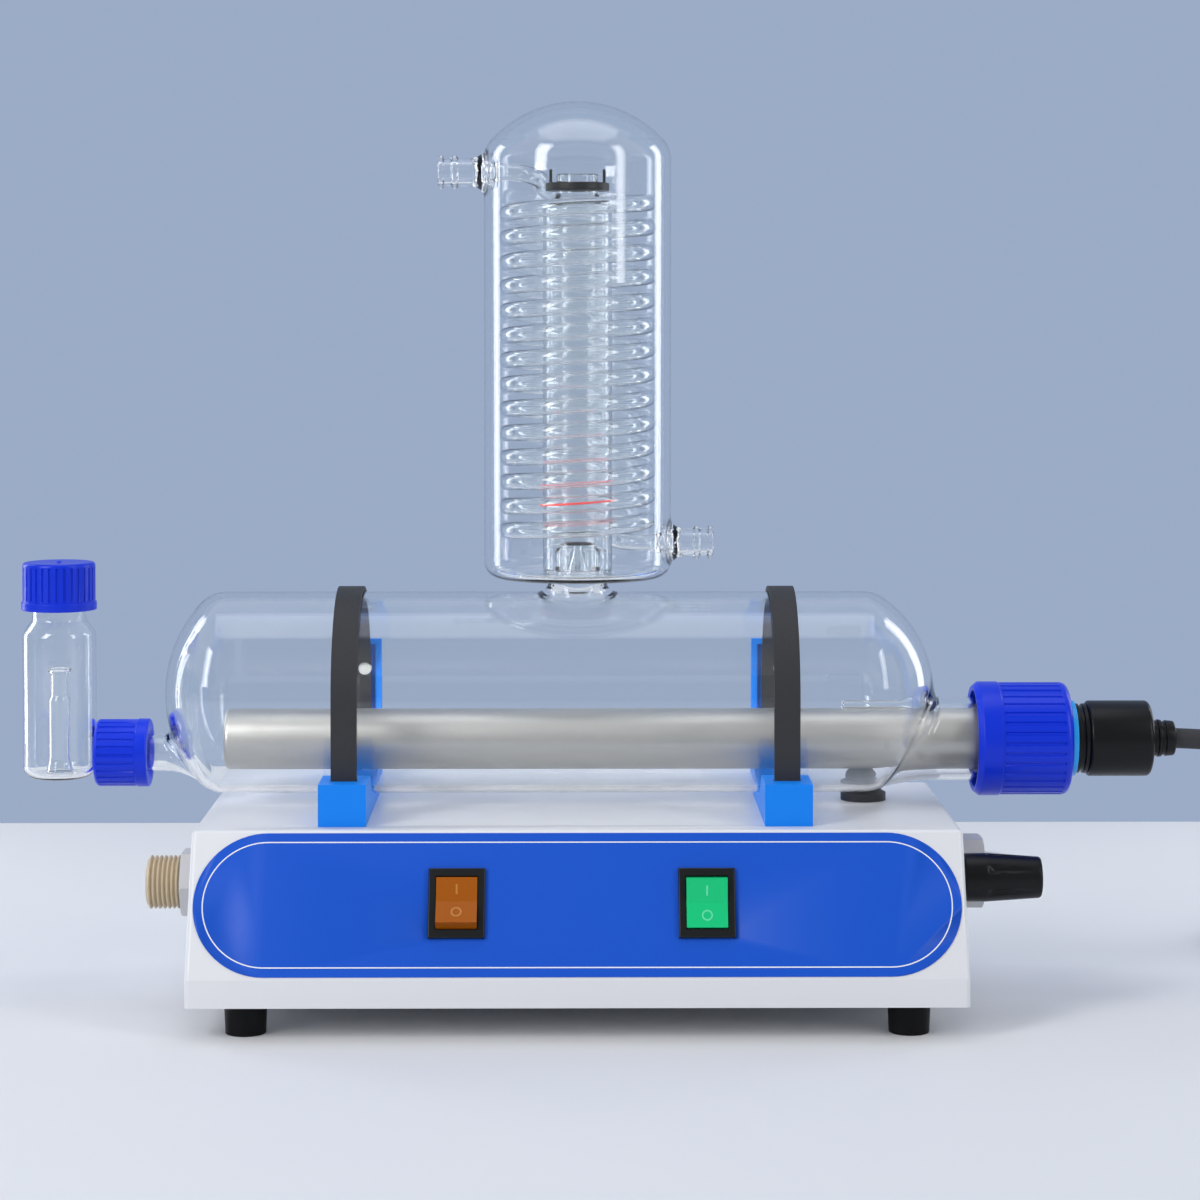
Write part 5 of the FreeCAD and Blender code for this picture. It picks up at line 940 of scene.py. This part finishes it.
heaterLead = put(buildLead(), "base", ("heater_lead",), "lead_grey")
print("lead made")

cameraView = dict(at=(-0.01025, -1.41625, 0.325), down=1.81, turn=-0.43, lens=90.0, shift=-0.16)
cameraData = bpy.data.cameras.new("camera")
camera = addObject("camera", cameraData)
camera.location = cameraView["at"]
camera.rotation_euler = (math.radians(90 - cameraView["down"]), 0, math.radians(cameraView["turn"]))
cameraData.lens = cameraView["lens"]
cameraData.shift_y = cameraView["shift"]
cameraData.sensor_width = 36.0
cameraData.clip_end = 30.0
bpy.context.scene.camera = camera


def addLight(name, at, aim, size, power, sizeY=None):
    data = bpy.data.lights.new(name, "AREA")
    data.shape = "RECTANGLE"
    data.size = size
    data.size_y = sizeY or size
    data.energy = power
    light = addObject(name, data)
    light.location = at
    light.rotation_euler = (Vector(aim) - Vector(at)).to_track_quat("-Z", "Y").to_euler()
    light.visible_camera = False


middle = (0.0, 0.0, 0.2)
addLight("keyLight", (-1.2, -1.15, 1.1), middle, 0.5, 18.0, 1.4)
addLight("fillLight", (1.35, -0.95, 0.95), middle, 0.35, 8.0, 1.3)
addLight("topLight", (0.0, 0.1, 1.7), middle, 1.2, 5.5)
addLight("leftEdgeLight", (-0.78, 0.43, 0.35), middle, 0.15, 2.0, 0.9)
addLight("rightEdgeLight", (0.78, 0.43, 0.35), middle, 0.15, 2.0, 0.9)

floorPaint = principled("floorPaint", (0.76, 0.765, 0.78), 0.6)
backPaint = principled("backPaint", (0.0, 0.0, 0.0), 0.9, Specular_IOR_Level=0.0,
                       Emission_Color=(0.33, 0.41, 0.57, 1.0), Emission_Strength=1.0)


# The wall has one side only: from behind it the room is seen through it.
def makeOneSided(material):
    shader = material.node_tree.nodes["Principled BSDF"]
    exitNode = material.node_tree.nodes["Material Output"]
    facing = addNode(material, "ShaderNodeNewGeometry")
    clear = addNode(material, "ShaderNodeBsdfTransparent")
    either = addNode(material, "ShaderNodeMixShader")
    link(material, facing.outputs["Backfacing"], either.inputs["Fac"])
    link(material, shader.outputs["BSDF"], either.inputs[1])
    link(material, clear.outputs["BSDF"], either.inputs[2])
    link(material, either.outputs["Shader"], exitNode.inputs["Surface"])


makeOneSided(backPaint)


def plainQuad(name, corners, material):
    mesh = bpy.data.meshes.new(name)
    mesh.from_pydata(corners, [], [(0, 1, 2, 3)])
    mesh.materials.append(material)
    return addObject(name, mesh)


# a pale floor, and a plain pale blue wall close behind the object that faces the front
room = dict(half=30, wallY=0.49, wallHeight=6)
h, y, top = room["half"], room["wallY"], room["wallHeight"]
plainQuad("floor", [(-h, -h, 0), (h, -h, 0), (h, h, 0), (-h, h, 0)], floorPaint)
wall = plainQuad("backdrop", [(-h, y, 0), (h, y, 0), (h, y, top), (-h, y, top)], backPaint)
wall.visible_shadow = False

world = bpy.data.worlds.new("paleRoom")
bpy.context.scene.world = world
world.use_nodes = True
sky = world.node_tree.nodes["Background"]
sky.inputs["Color"].default_value = (0.90, 0.94, 1.0, 1.0)
sky.inputs["Strength"].default_value = 0.36

scene = bpy.context.scene
scene.view_settings.view_transform = "Standard"
scene.cycles.max_bounces = 32
scene.cycles.transmission_bounces = 32
scene.cycles.transparent_max_bounces = 16
